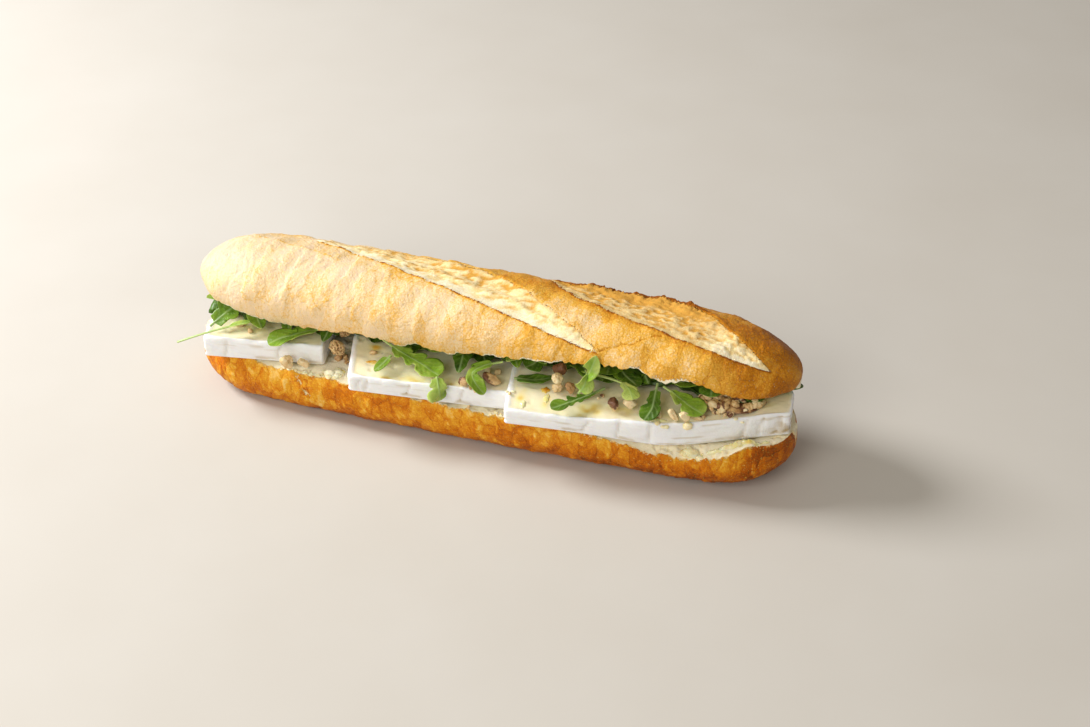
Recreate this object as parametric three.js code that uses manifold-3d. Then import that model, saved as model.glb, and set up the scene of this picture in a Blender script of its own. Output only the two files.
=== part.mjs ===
// Brie and honey sandwich: a split demi-baguette filled with three slices of brie,
// arugula and nuts. Millimetres, +Z up, X along the loaf, Y to the back.
// Every piece is worked out in one sandwich frame: the lower half of the loaf lies
// along X with its underside at z = 0. At the end the whole is centred on its box.

import * as THREE from 'three';
import { mergeVertices } from 'three/addons/utils/BufferGeometryUtils.js';
import Module from 'manifold-3d';

const wasm = await Module();
wasm.setup();

// Driving dimensions of the loaf
const LOAF_LENGTH = 272;
const LOAF_HALF_WIDTH = 28.6;
const CUT_HEIGHT = 22;
const LOWER_SHIFT_X = 3;
const UPPER_SHIFT = new THREE.Vector3(2.5, 5, 40.5);
const UPPER_TILT = THREE.MathUtils.degToRad(11);
const SCORE_DEPTH = 2.4;
const SCORE_LIP = 0.8;

// Driving dimensions of the filling
const BRIE_DEPTH = 44;
const BRIE_EDGE = 1.3;
const LEAF_THICKNESS = 0.6;
const NUT_SWELL = 1.12;
const GAP = 0.35;

// Colours, from light to dark
const CRUST_GOLD = 0xd99a4a;
const CRUST_PALE = 0xe8b56c;
const BRIE_WHITE = 0xf2eee2;
const LEAF_GREEN = 0x4f8a2f;
const LEAF_DARK = 0x2f6324;
const LEAF_PALE = 0x86b552;
const NUT_CREAM = 0xd8bd88;
const NUT_TAN = 0xb98d55;
const NUT_SKIN = 0x6b3a24;

const TAU = Math.PI * 2;
const { degToRad, lerp, clamp, smoothstep } = THREE.MathUtils;

// A repeatable draw from 0 to 1 for each seed.
function seeded(seed) {
  let state = seed;
  return function draw() {
    state = (state * 16807) % 2147483647;
    return state / 2147483647;
  };
}

// ---------------------------------------------------------------- solids

function signedVolume(geometry) {
  const p = geometry.attributes.position;
  const index = geometry.index;
  const a = new THREE.Vector3();
  const b = new THREE.Vector3();
  const c = new THREE.Vector3();
  let sum = 0;
  for (let i = 0; i < index.count; i += 3) {
    a.fromBufferAttribute(p, index.getX(i));
    b.fromBufferAttribute(p, index.getX(i + 1));
    c.fromBufferAttribute(p, index.getX(i + 2));
    sum += a.dot(b.cross(c));
  }
  return sum / 6;
}

// Moves each vertex of a closed primitive to place(vertex, u, v), merges the seams and
// turns the faces outward.
function reshaped(primitive, place) {
  const positions = primitive.attributes.position;
  const uv = primitive.attributes.uv;
  const vertex = new THREE.Vector3();
  for (let i = 0; i < positions.count; i += 1) {
    vertex.fromBufferAttribute(positions, i);
    place(vertex, uv.getX(i), uv.getY(i));
    positions.setXYZ(i, vertex.x, vertex.y, vertex.z);
  }
  primitive.deleteAttribute('normal');
  primitive.deleteAttribute('uv');
  const solid = mergeVertices(primitive, 1e-3);
  if (signedVolume(solid) < 0) {
    const index = solid.index;
    for (let i = 0; i < index.count; i += 3) {
      const second = index.getX(i + 1);
      index.setX(i + 1, index.getX(i + 2));
      index.setX(i + 2, second);
    }
  }
  solid.computeVertexNormals();
  return solid;
}

function toManifold(geometry) {
  const mesh = new wasm.Mesh({
    numProp: 3,
    vertProperties: new Float32Array(geometry.attributes.position.array),
    triVerts: new Uint32Array(geometry.index.array),
  });
  return new wasm.Manifold(mesh);
}

function toGeometry(manifold) {
  const mesh = manifold.getMesh();
  const geometry = new THREE.BufferGeometry();
  geometry.setAttribute('position', new THREE.BufferAttribute(mesh.vertProperties, 3));
  geometry.setIndex(new THREE.BufferAttribute(mesh.triVerts, 1));
  geometry.computeVertexNormals();
  return geometry;
}

// The body of a solid that holds the most, without loose scraps or sealed hollows.
function mainBody(manifold) {
  const bodies = manifold.decompose();
  bodies.sort((first, second) => second.volume() - first.volume());
  return bodies[0];
}

// Joins the pieces to the core and cuts the room of its neighbours out of it.
function fused(core, pieces, neighbours) {
  let joined = toManifold(core);
  for (const piece of pieces) joined = mainBody(joined.add(toManifold(piece)));
  for (const neighbour of neighbours) joined = joined.subtract(toManifold(neighbour));
  return toGeometry(mainBody(joined));
}

// ---------------------------------------------------------------- loaf

function roundEnd(x, length, leftEnd, rightEnd) {
  const left = clamp(1 - (x + length / 2) / leftEnd, 0, 1);
  const right = clamp(1 - (length / 2 - x) / rightEnd, 0, 1);
  return Math.sqrt(1 - left * left) * Math.sqrt(1 - right * right);
}

// One half of the loaf before it is cut: a row of superellipse sections. t runs from
// -1 at the left tip to 1 at the right tip.
const UPPER_LOAF = {
  length: 271,
  leftEnd: 36,
  rightEnd: 52,
  upperPower: 2.1,
  lowerPower: 2.0,
  halfWidth: (t) => 28.5 - t * t,
  middle: () => 0,
  widestAt: (t) => 7.5 - 2 * t,
  rise: (t) => 18.2 + 1.2 * t - 0.8 * t * t,
  drop: () => 20,
};

const LOWER_LOAF = {
  length: LOAF_LENGTH,
  leftEnd: 36,
  rightEnd: 36,
  upperPower: 2.4,
  lowerPower: 2.3,
  halfWidth: (t) => LOAF_HALF_WIDTH + 1.4 * t - 1.5 * t * t,
  middle: (t) => 1.8 * t * t - 1.2 * t,
  widestAt: (t) => 14 + 1.5 * t,
  rise: (t) => 22 + 9 * t,
  drop: (t) => 16.5 - 0.5 * t,
};

// The point of the section at x and the angle around it: 0 is the front flank, a
// quarter turn is the crest.
function loafPoint(loaf, x, angle, target) {
  const t = x / (loaf.length / 2);
  const size = roundEnd(x, loaf.length, loaf.leftEnd, loaf.rightEnd);
  const above = Math.sin(angle) > 0;
  const power = 2 / (above ? loaf.upperPower : loaf.lowerPower);
  const across = Math.sign(Math.cos(angle)) * Math.abs(Math.cos(angle)) ** power;
  const height = Math.abs(Math.sin(angle)) ** power;
  const reach = above ? loaf.rise(t) : -loaf.drop(t);
  target.x = x;
  target.y = loaf.middle(t) * size - loaf.halfWidth(t) * size * across;
  target.z = loaf.widestAt(t) + reach * size * height;
  return target;
}

// The angle, on the front or the back flank, where the section meets the cut.
function rimAngle(loaf, x, cutAt, isBack) {
  const point = new THREE.Vector3();
  const steepest = degToRad(68);
  let low = -steepest;
  let high = steepest;
  const heightAboveCut = (angle) => {
    loafPoint(loaf, x, isBack ? Math.PI - angle : angle, point);
    return point.z - cutAt(point.x, point.y);
  };
  if (heightAboveCut(low) > 0) return low;
  if (heightAboveCut(high) < 0) return high;
  for (let step = 0; step < 30; step += 1) {
    const middle = (low + high) / 2;
    if (heightAboveCut(middle) > 0) high = middle;
    else low = middle;
  }
  return (low + high) / 2;
}

// How far the sections crowd towards the round ends, from 0 for evenly spaced.
const END_CROWDING = 0.72;

// A closed half loaf. Around each section crustEdges edges follow the crust from rim to
// rim, and cutEdges edges run back across the cut face.
function halfLoaf(loaf, cutAt, keepsUpper, stations, crustEdges, cutEdges, relief) {
  const around = crustEdges + cutEdges;
  const sphere = new THREE.SphereGeometry(1, around, stations);
  return reshaped(sphere, (vertex, u, v) => {
    const station = Math.round((1 - v) * stations) / stations;
    const even = station * 2 - 1;
    const x = (loaf.length / 2) * lerp(even, -Math.cos(Math.PI * station), END_CROWDING);
    if (station === 0 || station === 1) {
      vertex.set(x, 0, loaf.widestAt(even));
      return;
    }
    const edge = Math.round(u * around) % around;
    const front = rimAngle(loaf, x, cutAt, false);
    const back = Math.PI - rimAngle(loaf, x, cutAt, true);
    let angle;
    if (keepsUpper) {
      angle = edge <= crustEdges
        ? lerp(front, back, edge / crustEdges)
        : lerp(back, front + TAU, (edge - crustEdges) / cutEdges);
    } else {
      angle = edge <= crustEdges
        ? lerp(front, back - TAU, edge / crustEdges)
        : lerp(back, front, (edge - crustEdges) / cutEdges);
    }
    const onCrust = edge > 0 && edge < crustEdges;
    loafPoint(loaf, x, angle, vertex);
    if (onCrust) relief(vertex, angle);
    const cut = cutAt(vertex.x, vertex.y);
    vertex.z = keepsUpper ? Math.max(vertex.z, cut) : Math.min(vertex.z, cut);
    vertex.z = keepsUpper ? vertex.z : Math.max(vertex.z, 0);
  });
}

// The three scores in the top crust. Each runs from one x to another; its near lip is
// a line in degrees from the crest, and it opens towards the back like a lens.
const SCORES = [
  { from: -128, to: -66, lip: 4, slope: -0.48, at: -108, hook: 0, open: 44 },
  { from: -90, to: 57, lip: 1, slope: -0.65, at: -64, hook: 0, open: 50 },
  { from: 20, to: 126, lip: -27, slope: -0.55, at: 62, hook: 30, open: 50 },
];

function scoreRelief(x, angle) {
  const degrees = THREE.MathUtils.radToDeg(angle) - 90;
  let rise = 0;
  let lip = 0;
  for (const score of SCORES) {
    const along = (x - score.from) / (score.to - score.from);
    if (along <= 0 || along >= 1) continue;
    const width = score.open * Math.sin(Math.PI * along) ** 0.8;
    const hook = score.hook * Math.exp(-(x - score.from) / 12);
    const near = score.lip + score.slope * (x - score.at) + hook;
    const across = (degrees - near) / width;
    const strength = Math.min(1, width / 46);
    const isOpen = across > 0 && across < 1;
    if (isOpen) rise -= SCORE_DEPTH * strength * Math.sin(Math.PI * across);
    const lipDistance = Math.min(Math.abs(across), Math.abs(across - 1)) * width;
    lip = Math.max(lip, strength * Math.exp(-((lipDistance / 7) ** 2)));
  }
  return rise + SCORE_LIP * lip;
}

// Low unevenness of a hand-shaped crust.
function crustWave(x, angle) {
  return 0.3 * Math.sin(0.19 * x + 2.1 * Math.sin(3 * angle))
    + 0.22 * Math.sin(0.41 * x - 4.3 * angle);
}

function pushOut(vertex, angle, distance) {
  vertex.y -= Math.cos(angle) * distance;
  vertex.z += Math.sin(angle) * distance;
}

// The front rim of the upper half: places along the loaf and the rim's height there over
// the plane of the cut. It is torn up to the right of the middle.
const TORN_RIM = [
  [-125, -1], [-118, 1.8], [-110, 0.4], [-100, -2], [-90, -3.4], [-84, -3], [-77, -2],
  [-68, -2.4], [-58, -0.4], [-47, 0.2], [-40, -1], [-35, -2.6], [-30, -1.8], [-25, 0.5],
  [-18, -0.7], [-8, -1.2], [0, 1], [8, 2], [20, 3.4], [33, 3.7], [42, 5.6], [55, 7.4],
  [66, 7.8], [71, 8.6], [77, 6.4], [84, 4.2], [90, 6], [96, 6.5], [101, 4.6], [108, 1.6],
  [116, -0.1], [130, -1.2],
];

function rimHeight(x) {
  const next = TORN_RIM.findIndex(([place]) => place > x);
  if (next === 0) return TORN_RIM[0][1];
  if (next < 0) return TORN_RIM[TORN_RIM.length - 1][1];
  const [before, low] = TORN_RIM[next - 1];
  const [after, high] = TORN_RIM[next];
  return lerp(low, high, (x - before) / (after - before));
}

function upperCut(x, y) {
  const jagged = 0.35 * Math.sin(0.83 * x) + 0.25 * Math.sin(1.9 * x + 1);
  return rimHeight(x) * smoothstep(-y, 10, 22) + jagged * smoothstep(Math.abs(y), 16, 26);
}

// The front rim of the lower half is pressed down to the right, then stands up again.
function lowerCut(x, y) {
  const dip = 3.6 * Math.exp(-(((x - 90) / 24) ** 2)) * smoothstep(-y, 20, 30);
  const uneven = 0.3 * Math.sin(0.37 * x + 0.2 * y) * smoothstep(Math.abs(y), 10, 24);
  const rightEnd = 2 * smoothstep(x, 104, 132);
  const rightRim = 2.4 * Math.exp(-(((x - 121) / 13) ** 2)) * smoothstep(-y, 13, 20);
  return CUT_HEIGHT - dip + uneven + rightEnd + rightRim;
}

function breadTop() {
  const geometry = halfLoaf(UPPER_LOAF, upperCut, true, 62, 22, 5, (vertex, angle) => {
    pushOut(vertex, angle, scoreRelief(vertex.x, angle) + crustWave(vertex.x, angle));
  });
  const bread = piece('bread_top', geometry, CRUST_PALE, 0.62);
  bread.position.copy(UPPER_SHIFT);
  bread.rotation.x = -UPPER_TILT;
  return bread;
}

function breadBottom() {
  const geometry = halfLoaf(LOWER_LOAF, lowerCut, false, 50, 13, 5, (vertex, angle) => {
    pushOut(vertex, angle, 0.6 * crustWave(vertex.x, angle));
  });
  const bread = piece('bread_bottom', geometry, CRUST_GOLD, 0.62);
  bread.position.x = LOWER_SHIFT_X;
  return bread;
}

// Height of the upper half's cut face over a point of the sandwich frame.
function ceilingAt(y) {
  return UPPER_SHIFT.z - Math.tan(UPPER_TILT) * (y - UPPER_SHIFT.y);
}

// ---------------------------------------------------------------- brie

// Each slice lies from its front left corner at (x, y) and is turned by yaw. Its left
// end is raised by lift and its right end by tail, and its left edge is cut askew. Its
// front left corner is thinner by sag. Past bendFrom its front edge sweeps back with the
// end of the loaf.
const SLICES = {
  brie_left: {
    x: -121, y: -26, z: 22.7, yaw: 9.7, length: 54.5, thickness: 10.2,
    lift: 0, tail: 0, askew: 0, sag: 0, bendFrom: 200,
  },
  brie_middle: {
    x: -49.6, y: -33.2, z: 22.7, yaw: 7.6, length: 69.2, thickness: 9.4,
    lift: 1.2, tail: 0, askew: 7, sag: 0.9, bendFrom: 200,
  },
  brie_right: {
    x: 22.9, y: -36.2, z: 22.7, yaw: 6.5, length: 117, thickness: 11.2,
    lift: 1, tail: 2.3, askew: 3, sag: 2.6, bendFrom: 62,
  },
};

// The swept end of a slice: how fast its front edge goes back, and how far its right
// face is cut away towards the back over the last part of its length.
const SWEEP = 0.33;
const SWEEP_EASE = 10;
const END_TAPER = 15;
const TAPER_FROM = 0.8;

function brieSlice(name) {
  const slice = SLICES[name];
  const steps = Math.round(slice.length / 5.5);
  const box = new THREE.BoxGeometry(1, 1, 1, steps, 7, 3);
  const geometry = reshaped(box, (vertex) => {
    const u = vertex.x + 0.5;
    const across = vertex.y + 0.5;
    const up = vertex.z + 0.5;
    const rows = [0, BRIE_EDGE, 9, 17, 26, 34, BRIE_DEPTH - BRIE_EDGE, BRIE_DEPTH];
    const levels = [0, BRIE_EDGE, slice.thickness - BRIE_EDGE, slice.thickness];
    let y = rows[Math.round(across * 7)];
    let z = levels[Math.round(up * 3)];
    let x = u * slice.length;
    // The long edges and the ends are eased where the rind turns over.
    const atSide = Math.round(across * 7) % 7 === 0;
    const atFace = Math.round(up * 3) % 3 === 0;
    const atEnd = u < 0.001 || u > 0.999;
    if (atSide && atFace) z += up < 0.5 ? 0.5 : -0.5;
    if (atEnd && atFace) z += up < 0.5 ? 0.35 : -0.35;
    if (atEnd && atSide) x += u < 0.5 ? 0.9 : -0.9;
    const past = Math.max(0, x - slice.bendFrom);
    if (past > 0) {
      const nearFront = 1 - y / BRIE_DEPTH;
      const taper = END_TAPER * Math.max(0, u - TAPER_FROM) / (1 - TAPER_FROM);
      y += (SWEEP * past * past) / (past + SWEEP_EASE) * nearFront ** 0.7;
      x -= taper * smoothstep(across, 0.4, 1);
    }
    const corner = (1 - smoothstep(x, 24, 60)) * (1 - smoothstep(y, 2, 14));
    z += slice.sag * corner * (up > 0.5 ? -1 : 0.5);
    x -= slice.askew * across * (1 - u) ** 2;
    z += slice.lift * (1 - u) ** 2 + slice.tail * smoothstep(u, 0.6, 1);
    y += atSide ? 0.25 * Math.sin(0.45 * x) : 0;
    z += up > 0.5 ? 0.25 * Math.sin(0.11 * x + 0.14 * y) : 0;
    vertex.set(x, y, z);
  });
  const mesh = piece(name, geometry, BRIE_WHITE, 0.55);
  mesh.position.set(slice.x, slice.y, slice.z);
  mesh.rotation.z = degToRad(slice.yaw);
  return mesh;
}

// Highest level of the brie near a point, for what lies on it.
function brieTopAt(x) {
  const reach = 4;
  let top = 0;
  for (const slice of Object.values(SLICES)) {
    const isNear = x > slice.x - 15 - reach && x < slice.x + slice.length + reach;
    const lifted = slice.z + slice.thickness + Math.max(slice.lift, slice.tail) + 0.3;
    if (isNear) top = Math.max(top, lifted);
  }
  return top;
}

// Back edge of the brie near a point.
function brieBackAt(x) {
  const reach = 6;
  let back = -BRIE_DEPTH;
  for (const slice of Object.values(SLICES)) {
    if (x < slice.x - 15 - reach || x > slice.x + slice.length + reach) continue;
    const slope = Math.sin(degToRad(slice.yaw));
    back = Math.max(back, slice.y + BRIE_DEPTH + slope * (x + reach - slice.x));
  }
  return back;
}

// ---------------------------------------------------------------- arugula

// A leaf along a hand-laid path: stalk first, tip last. width is its widest half
// width, lobes the number of pairs of lobes, roll its turn about the path, and cup the
// lift of its edges over the midrib.
function leafSolid(leaf, clearance = 0) {
  const points = leaf.path.map(([x, y, z]) => new THREE.Vector3(x, y, z));
  const path = new THREE.CatmullRomCurve3(points);
  const steps = leaf.steps ?? 9;
  const box = new THREE.BoxGeometry(1, 1, 1, steps, 2, 1);
  const tangent = new THREE.Vector3();
  const across = new THREE.Vector3();
  const normal = new THREE.Vector3();
  const centre = new THREE.Vector3();
  const half = LEAF_THICKNESS / 2 + clearance;
  return reshaped(box, (vertex) => {
    const u = vertex.x + 0.5;
    const side = vertex.y * 2;
    const face = Math.sign(vertex.z);
    path.getPointAt(u, centre);
    path.getTangentAt(clamp(u, 0.001, 0.999), tangent);
    if (clearance > 0) centre.addScaledVector(tangent, (u - 0.5) * 2 * clearance);
    across.set(-tangent.y, tangent.x, 0).normalize();
    across.applyAxisAngle(tangent, degToRad(leaf.roll ?? 0));
    normal.crossVectors(tangent, across).normalize();
    const blade = Math.sin(Math.PI * clamp((u - 0.12) / 0.9, 0, 1)) ** 0.7;
    const lobed = 1 + 0.38 * Math.cos(TAU * (leaf.lobes ?? 0) * u + Math.PI);
    const width = 0.5 + leaf.width * blade * (leaf.lobes ? lobed : 1) + clearance;
    const lift = (leaf.cup ?? 1) * blade * side * side;
    vertex.copy(centre)
      .addScaledVector(across, side * width)
      .addScaledVector(normal, lift + face * half);
  });
}

// Leaves that show as pieces of their own, from left to right along the front.
const FRONT_LEAVES = [
  {
    path: [[-131, -30, 31], [-121, -27, 35], [-110, -22, 38], [-101, -17, 39.5]],
    width: 1.6, cup: 0.6, steps: 7,
  },
  { path: [[-119, -21, 36], [-115, -15, 39], [-112, -10, 41.5]], width: 4.6, cup: 1, roll: 24 },
  {
    path: [[-66, -13, 40.5], [-76, -16, 38.5], [-85, -20, 36], [-90, -24, 34.4]],
    width: 4.2, lobes: 2, cup: 1,
  },
  {
    path: [[-40, -14, 40.5], [-30, -18, 38.5], [-19, -22, 37], [-10, -26, 36]],
    width: 5.2, lobes: 1, cup: 1.2,
  },
  {
    path: [[-34, -20, 37.6], [-36, -25, 36], [-38, -29.6, 34.9]],
    width: 2.4, cup: 0.5, steps: 6,
  },
  {
    path: [[-10, -28.8, 37.4], [-8, -32.2, 34.2], [-7.2, -32.8, 28.6]],
    width: 4.4, lobes: 1, cup: -0.7, steps: 7,
  },
  {
    path: [[15, -15.5, 41.5], [8, -19, 40.4], [4, -23, 38.6], [6.5, -27, 36.4], [11, -29, 33]],
    width: 2.8, cup: 0.8,
  },
  { path: [[21, -19, 36.6], [30, -18, 37], [38, -15, 38]], width: 2.6, cup: 0.6 },
  {
    path: [[51, -25, 39.4], [53, -24.5, 43], [54, -22.5, 48]],
    width: 3.2, cup: 0.9, roll: 70, steps: 7,
  },
  {
    path: [[60, -17, 38.4], [53.5, -23.5, 37.3], [48, -29, 36.8], [42, -34.5, 36.4]],
    width: 2.6, lobes: 2, cup: 0.7,
  },
  {
    path: [[54, -14, 42.4], [63, -15, 42.2], [70, -18.5, 42.4], [74, -24, 40.6]],
    width: 2.9, lobes: 1, cup: -0.6,
  },
  {
    path: [[81, -11, 41.4], [81.5, -17, 39.4], [82, -24, 37.5], [80.5, -30, 35.9]],
    width: 3.6, lobes: 1, cup: 0.8,
  },
  {
    path: [[84, -13, 41.8], [90, -15, 40.2], [96, -18, 38.6], [103, -21, 37.4]],
    width: 5, lobes: 1, cup: 0.8,
  },
];

// Leaves that come out of the bed: first those that show at the front, then those
// that hang out at the back.
const BED_LEAVES = [
  { path: [[-116, 2, 38.4], [-121, -3, 39.6], [-127, -7, 41]], width: 3.2, cup: 1 },
  { path: [[-104, -3, 38], [-101, -11, 38.6], [-96, -17, 37]], width: 3.4, cup: 0.8 },
  { path: [[-70, 0, 38.4], [-67, -8, 38.6], [-67, -17, 36]], width: 2.6, cup: 0.9 },
  { path: [[-26, -3, 39.6], [-20, -9, 41], [-12, -15, 41]], width: 4.4, lobes: 1, cup: 1 },
  { path: [[-8, -2, 40], [-4, -12, 40.5], [-2, -24, 38]], width: 3.2, cup: 1 },
  { path: [[4, -2, 40], [0, -10, 42], [-6, -16, 41]], width: 3, cup: 1 },
  { path: [[22, -1, 39.4], [19, -8, 40.6], [16, -14, 41]], width: 2.8, cup: 0.8 },
  { path: [[30, -1, 39.4], [30, -8, 41], [33, -13, 42.6]], width: 3, cup: 1 },
  { path: [[44, -1, 39.6], [49, -8, 39.5], [58, -13, 39.4]], width: 3.4, cup: 0.8 },
  { path: [[62, -1, 39.4], [66, -7, 39.6], [73, -12, 38.8]], width: 4, lobes: 1, cup: 0.8 },
  { path: [[96, 0, 39.4], [92, -6, 41], [87, -10, 42.5]], width: 4, cup: 0.9 },
  { path: [[122, 6, 37.5], [130, 8, 37.4], [141, 10, 38]], width: 3, cup: 0.6 },
  { path: [[-104, 8, 37], [-108, 20, 35], [-111, 28, 30]], width: 5, lobes: 2, cup: 0.8 },
  { path: [[-76, 10, 37], [-80, 22, 34.6], [-79, 30, 28]], width: 4.6, lobes: 1, cup: 0.8 },
  { path: [[-48, 8, 37], [-44, 20, 34], [-46, 30, 29]], width: 5.2, lobes: 2, cup: 0.8 },
  { path: [[-16, 8, 37], [-20, 20, 33], [-19, 29, 27]], width: 4.8, lobes: 1, cup: 0.8 },
  { path: [[12, 9, 37], [16, 20, 34], [14, 31, 29]], width: 5.4, lobes: 2, cup: 0.8 },
  { path: [[44, 9, 37], [40, 20, 34], [43, 30, 27.5]], width: 4.6, lobes: 1, cup: 0.8 },
  { path: [[72, 10, 37], [77, 21, 34.6], [76, 31, 29.5]], width: 5, lobes: 2, cup: 0.8 },
  { path: [[102, 12, 37], [106, 21, 34.4], [104, 29, 28]], width: 4.6, lobes: 1, cup: 0.8 },
];

// The low heap between the brie and the upper half that the leaves grow out of. It
// runs from end to end, and behind the brie it sinks to the lower half.
const BED = { from: -126, to: 124, columns: 26, front: -6.5, rear: 22 };

function bedCore() {
  const stops = [0, 0.35, 0.7, 1];
  const rows = stops.length + 3;
  const box = new THREE.BoxGeometry(1, 1, 1, BED.columns, rows - 1, 1);
  return reshaped(box, (vertex) => {
    const u = vertex.x + 0.5;
    const row = Math.round((vertex.y + 0.5) * (rows - 1));
    const end = Math.sin(Math.PI * clamp(u, 0.02, 0.98)) ** 0.35;
    const x = lerp(BED.from, BED.to, u);
    const wave = Math.sin(0.31 * x) + 0.6 * Math.sin(0.73 * x + 1.4);
    const back = brieBackAt(x) + 1;
    const front = BED.front + 1.5 * wave;
    const rear = Math.max(back + 1.5, (BED.rear + wave) * end);
    let y = 0;
    let floor = brieTopAt(x) + GAP + 0.3;
    if (row < stops.length) {
      y = lerp(front, back, stops[row]);
    } else {
      y = lerp(back + 0.8, rear, (row - stops.length) / 2);
      floor = CUT_HEIGHT + 1;
    }
    const slope = 2 + 0.42 * (y - front) + 0.8 * wave;
    const top = Math.min(ceilingAt(y) - GAP - 0.9, brieTopAt(x) + 1.2 + slope);
    vertex.set(x, y, vertex.z > 0 ? Math.max(top, floor + 1) : floor);
  });
}

// ---------------------------------------------------------------- nuts

// A broken kernel: a rounded lump with a few flat and hollow sides.
function nutSolid(nut, clearance = 0) {
  const draw = seeded(nut.seed);
  const dents = [];
  for (let i = 0; i < 5; i += 1) {
    const direction = new THREE.Vector3(draw() - 0.5, draw() - 0.5, draw() - 0.5).normalize();
    dents.push({ direction, depth: 0.12 + 0.22 * draw() });
  }
  const ball = new THREE.IcosahedronGeometry(1, nut.detail ?? 1);
  const turn = new THREE.Euler(draw() * 0.6, draw() * 0.6, degToRad(nut.turn ?? 0));
  const unit = new THREE.Vector3();
  return reshaped(ball, (vertex) => {
    unit.copy(vertex).normalize();
    let radius = 1;
    for (const dent of dents) {
      radius -= dent.depth * clamp(unit.dot(dent.direction) * 1.6 - 0.5, 0, 1);
    }
    vertex.copy(unit).multiplyScalar(radius);
    vertex.set(vertex.x * nut.size[0], vertex.y * nut.size[1], vertex.z * nut.size[2]);
    vertex.multiplyScalar(NUT_SWELL / 2).applyEuler(turn);
    vertex.addScaledVector(unit, clearance);
    vertex.add(new THREE.Vector3(...nut.at));
  });
}

const NUTS = [
  {
    name: 'walnut_piece_left',
    at: [-62.6, -14.3, 31],
    size: [9, 7, 9],
    seed: 11,
    colour: NUT_TAN,
  },
  {
    name: 'walnut_piece_left_back',
    at: [-62.3, -6, 36.4],
    size: [8, 6, 6],
    seed: 12,
    colour: NUT_TAN,
  },
  {
    name: 'nut_piece_left_rim',
    at: [-81.3, -23.4, 27],
    size: [7, 4.6, 6.6],
    seed: 13,
    colour: NUT_CREAM,
  },
  {
    name: 'nut_piece_left_rim_small',
    at: [-75.2, -22, 26.2],
    size: [5, 4.4, 4.8],
    seed: 14,
    colour: NUT_CREAM,
  },
  {
    name: 'nut_piece_middle_front',
    at: [0.4, -25, 35],
    size: [5, 4, 4],
    seed: 15,
    colour: NUT_TAN,
  },
  {
    name: 'nut_piece_middle',
    at: [11.2, -20.6, 35.5],
    size: [8, 5, 4.6],
    seed: 16,
    colour: NUT_TAN,
  },
  {
    name: 'nut_skin_dark',
    at: [39.9, -14.9, 43.5],
    size: [6, 5, 6],
    seed: 17,
    colour: NUT_SKIN,
  },
  {
    name: 'nut_piece_centre_pale',
    at: [40.5, -20.8, 42.6],
    size: [5, 4.6, 5.4],
    seed: 18,
    colour: NUT_CREAM,
  },
  {
    name: 'nut_piece_centre_low',
    at: [40.2, -20.6, 37.2],
    size: [5.6, 4.6, 4.2],
    seed: 19,
    colour: NUT_CREAM,
  },
  {
    name: 'hazelnut_piece_orange',
    at: [46, -20.8, 38.4],
    size: [5, 4.4, 5.2],
    seed: 20,
    colour: NUT_TAN,
  },
  {
    name: 'hazelnut_half',
    at: [65.6, -24.8, 37.5],
    size: [5.8, 5.4, 5.2],
    seed: 21,
    colour: NUT_SKIN,
  },
  {
    name: 'nut_piece_right_pale',
    at: [72.6, -23, 37.6],
    size: [7, 5, 4.6],
    seed: 22,
    colour: NUT_CREAM,
  },
  {
    name: 'nut_piece_right_row_a',
    at: [91.2, -24.8, 37.4],
    size: [5.4, 4.4, 4],
    seed: 23,
    colour: NUT_CREAM,
  },
  {
    name: 'nut_piece_right_row_b',
    at: [96, -25.2, 37.2],
    size: [4.8, 3.8, 3.8],
    seed: 24,
    colour: NUT_CREAM,
  },
];

// The heap of chopped nuts on the right slice: a low core with its pieces on top.
const CHOPPED = { at: [112, -9, 36.5], reach: [13, 7.5, 3.2], pieces: 18, room: 3.4 };

function heapDome(spare) {
  const [cx, cy, cz] = CHOPPED.at;
  const [rx, ry, rz] = CHOPPED.reach;
  return reshaped(new THREE.SphereGeometry(1, 12, 6), (vertex) => {
    const isBelow = vertex.y < -0.01;
    const up = isBelow ? -0.4 - spare : (rz + spare) * vertex.y;
    vertex.set(cx + (rx + spare) * vertex.x, cy + (ry + spare) * vertex.z, cz + up);
  });
}

function choppedNuts(neighbours) {
  const draw = seeded(77);
  const [cx, cy, cz] = CHOPPED.at;
  const [rx, ry, rz] = CHOPPED.reach;
  const core = heapDome(0);
  const pieces = [];
  for (let i = 0; i < CHOPPED.pieces; i += 1) {
    const angle = TAU * draw();
    const out = Math.sqrt(draw()) * 0.95;
    const size = 2.8 + 2.2 * draw();
    const lift = rz * Math.sqrt(Math.max(0, 1 - out * out));
    pieces.push(nutSolid({
      at: [cx + rx * out * Math.cos(angle), cy + ry * out * Math.sin(angle), cz + lift],
      size: [size, size * 0.8, size * 0.75],
      seed: 100 + i,
      detail: 0,
      turn: 360 * draw(),
    }));
  }
  return fused(core, pieces, neighbours);
}

// ---------------------------------------------------------------- assembly

function piece(name, geometry, color, roughness) {
  const material = new THREE.MeshStandardMaterial({ color, roughness, metalness: 0 });
  const mesh = new THREE.Mesh(geometry, material);
  mesh.name = name;
  return mesh;
}

// The place of a piece, moved along Z by the gap that its neighbours keep to it.
function roomOf(mesh, shift) {
  mesh.updateMatrix();
  return mesh.geometry.clone().applyMatrix4(mesh.matrix).translate(0, 0, shift);
}

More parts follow.
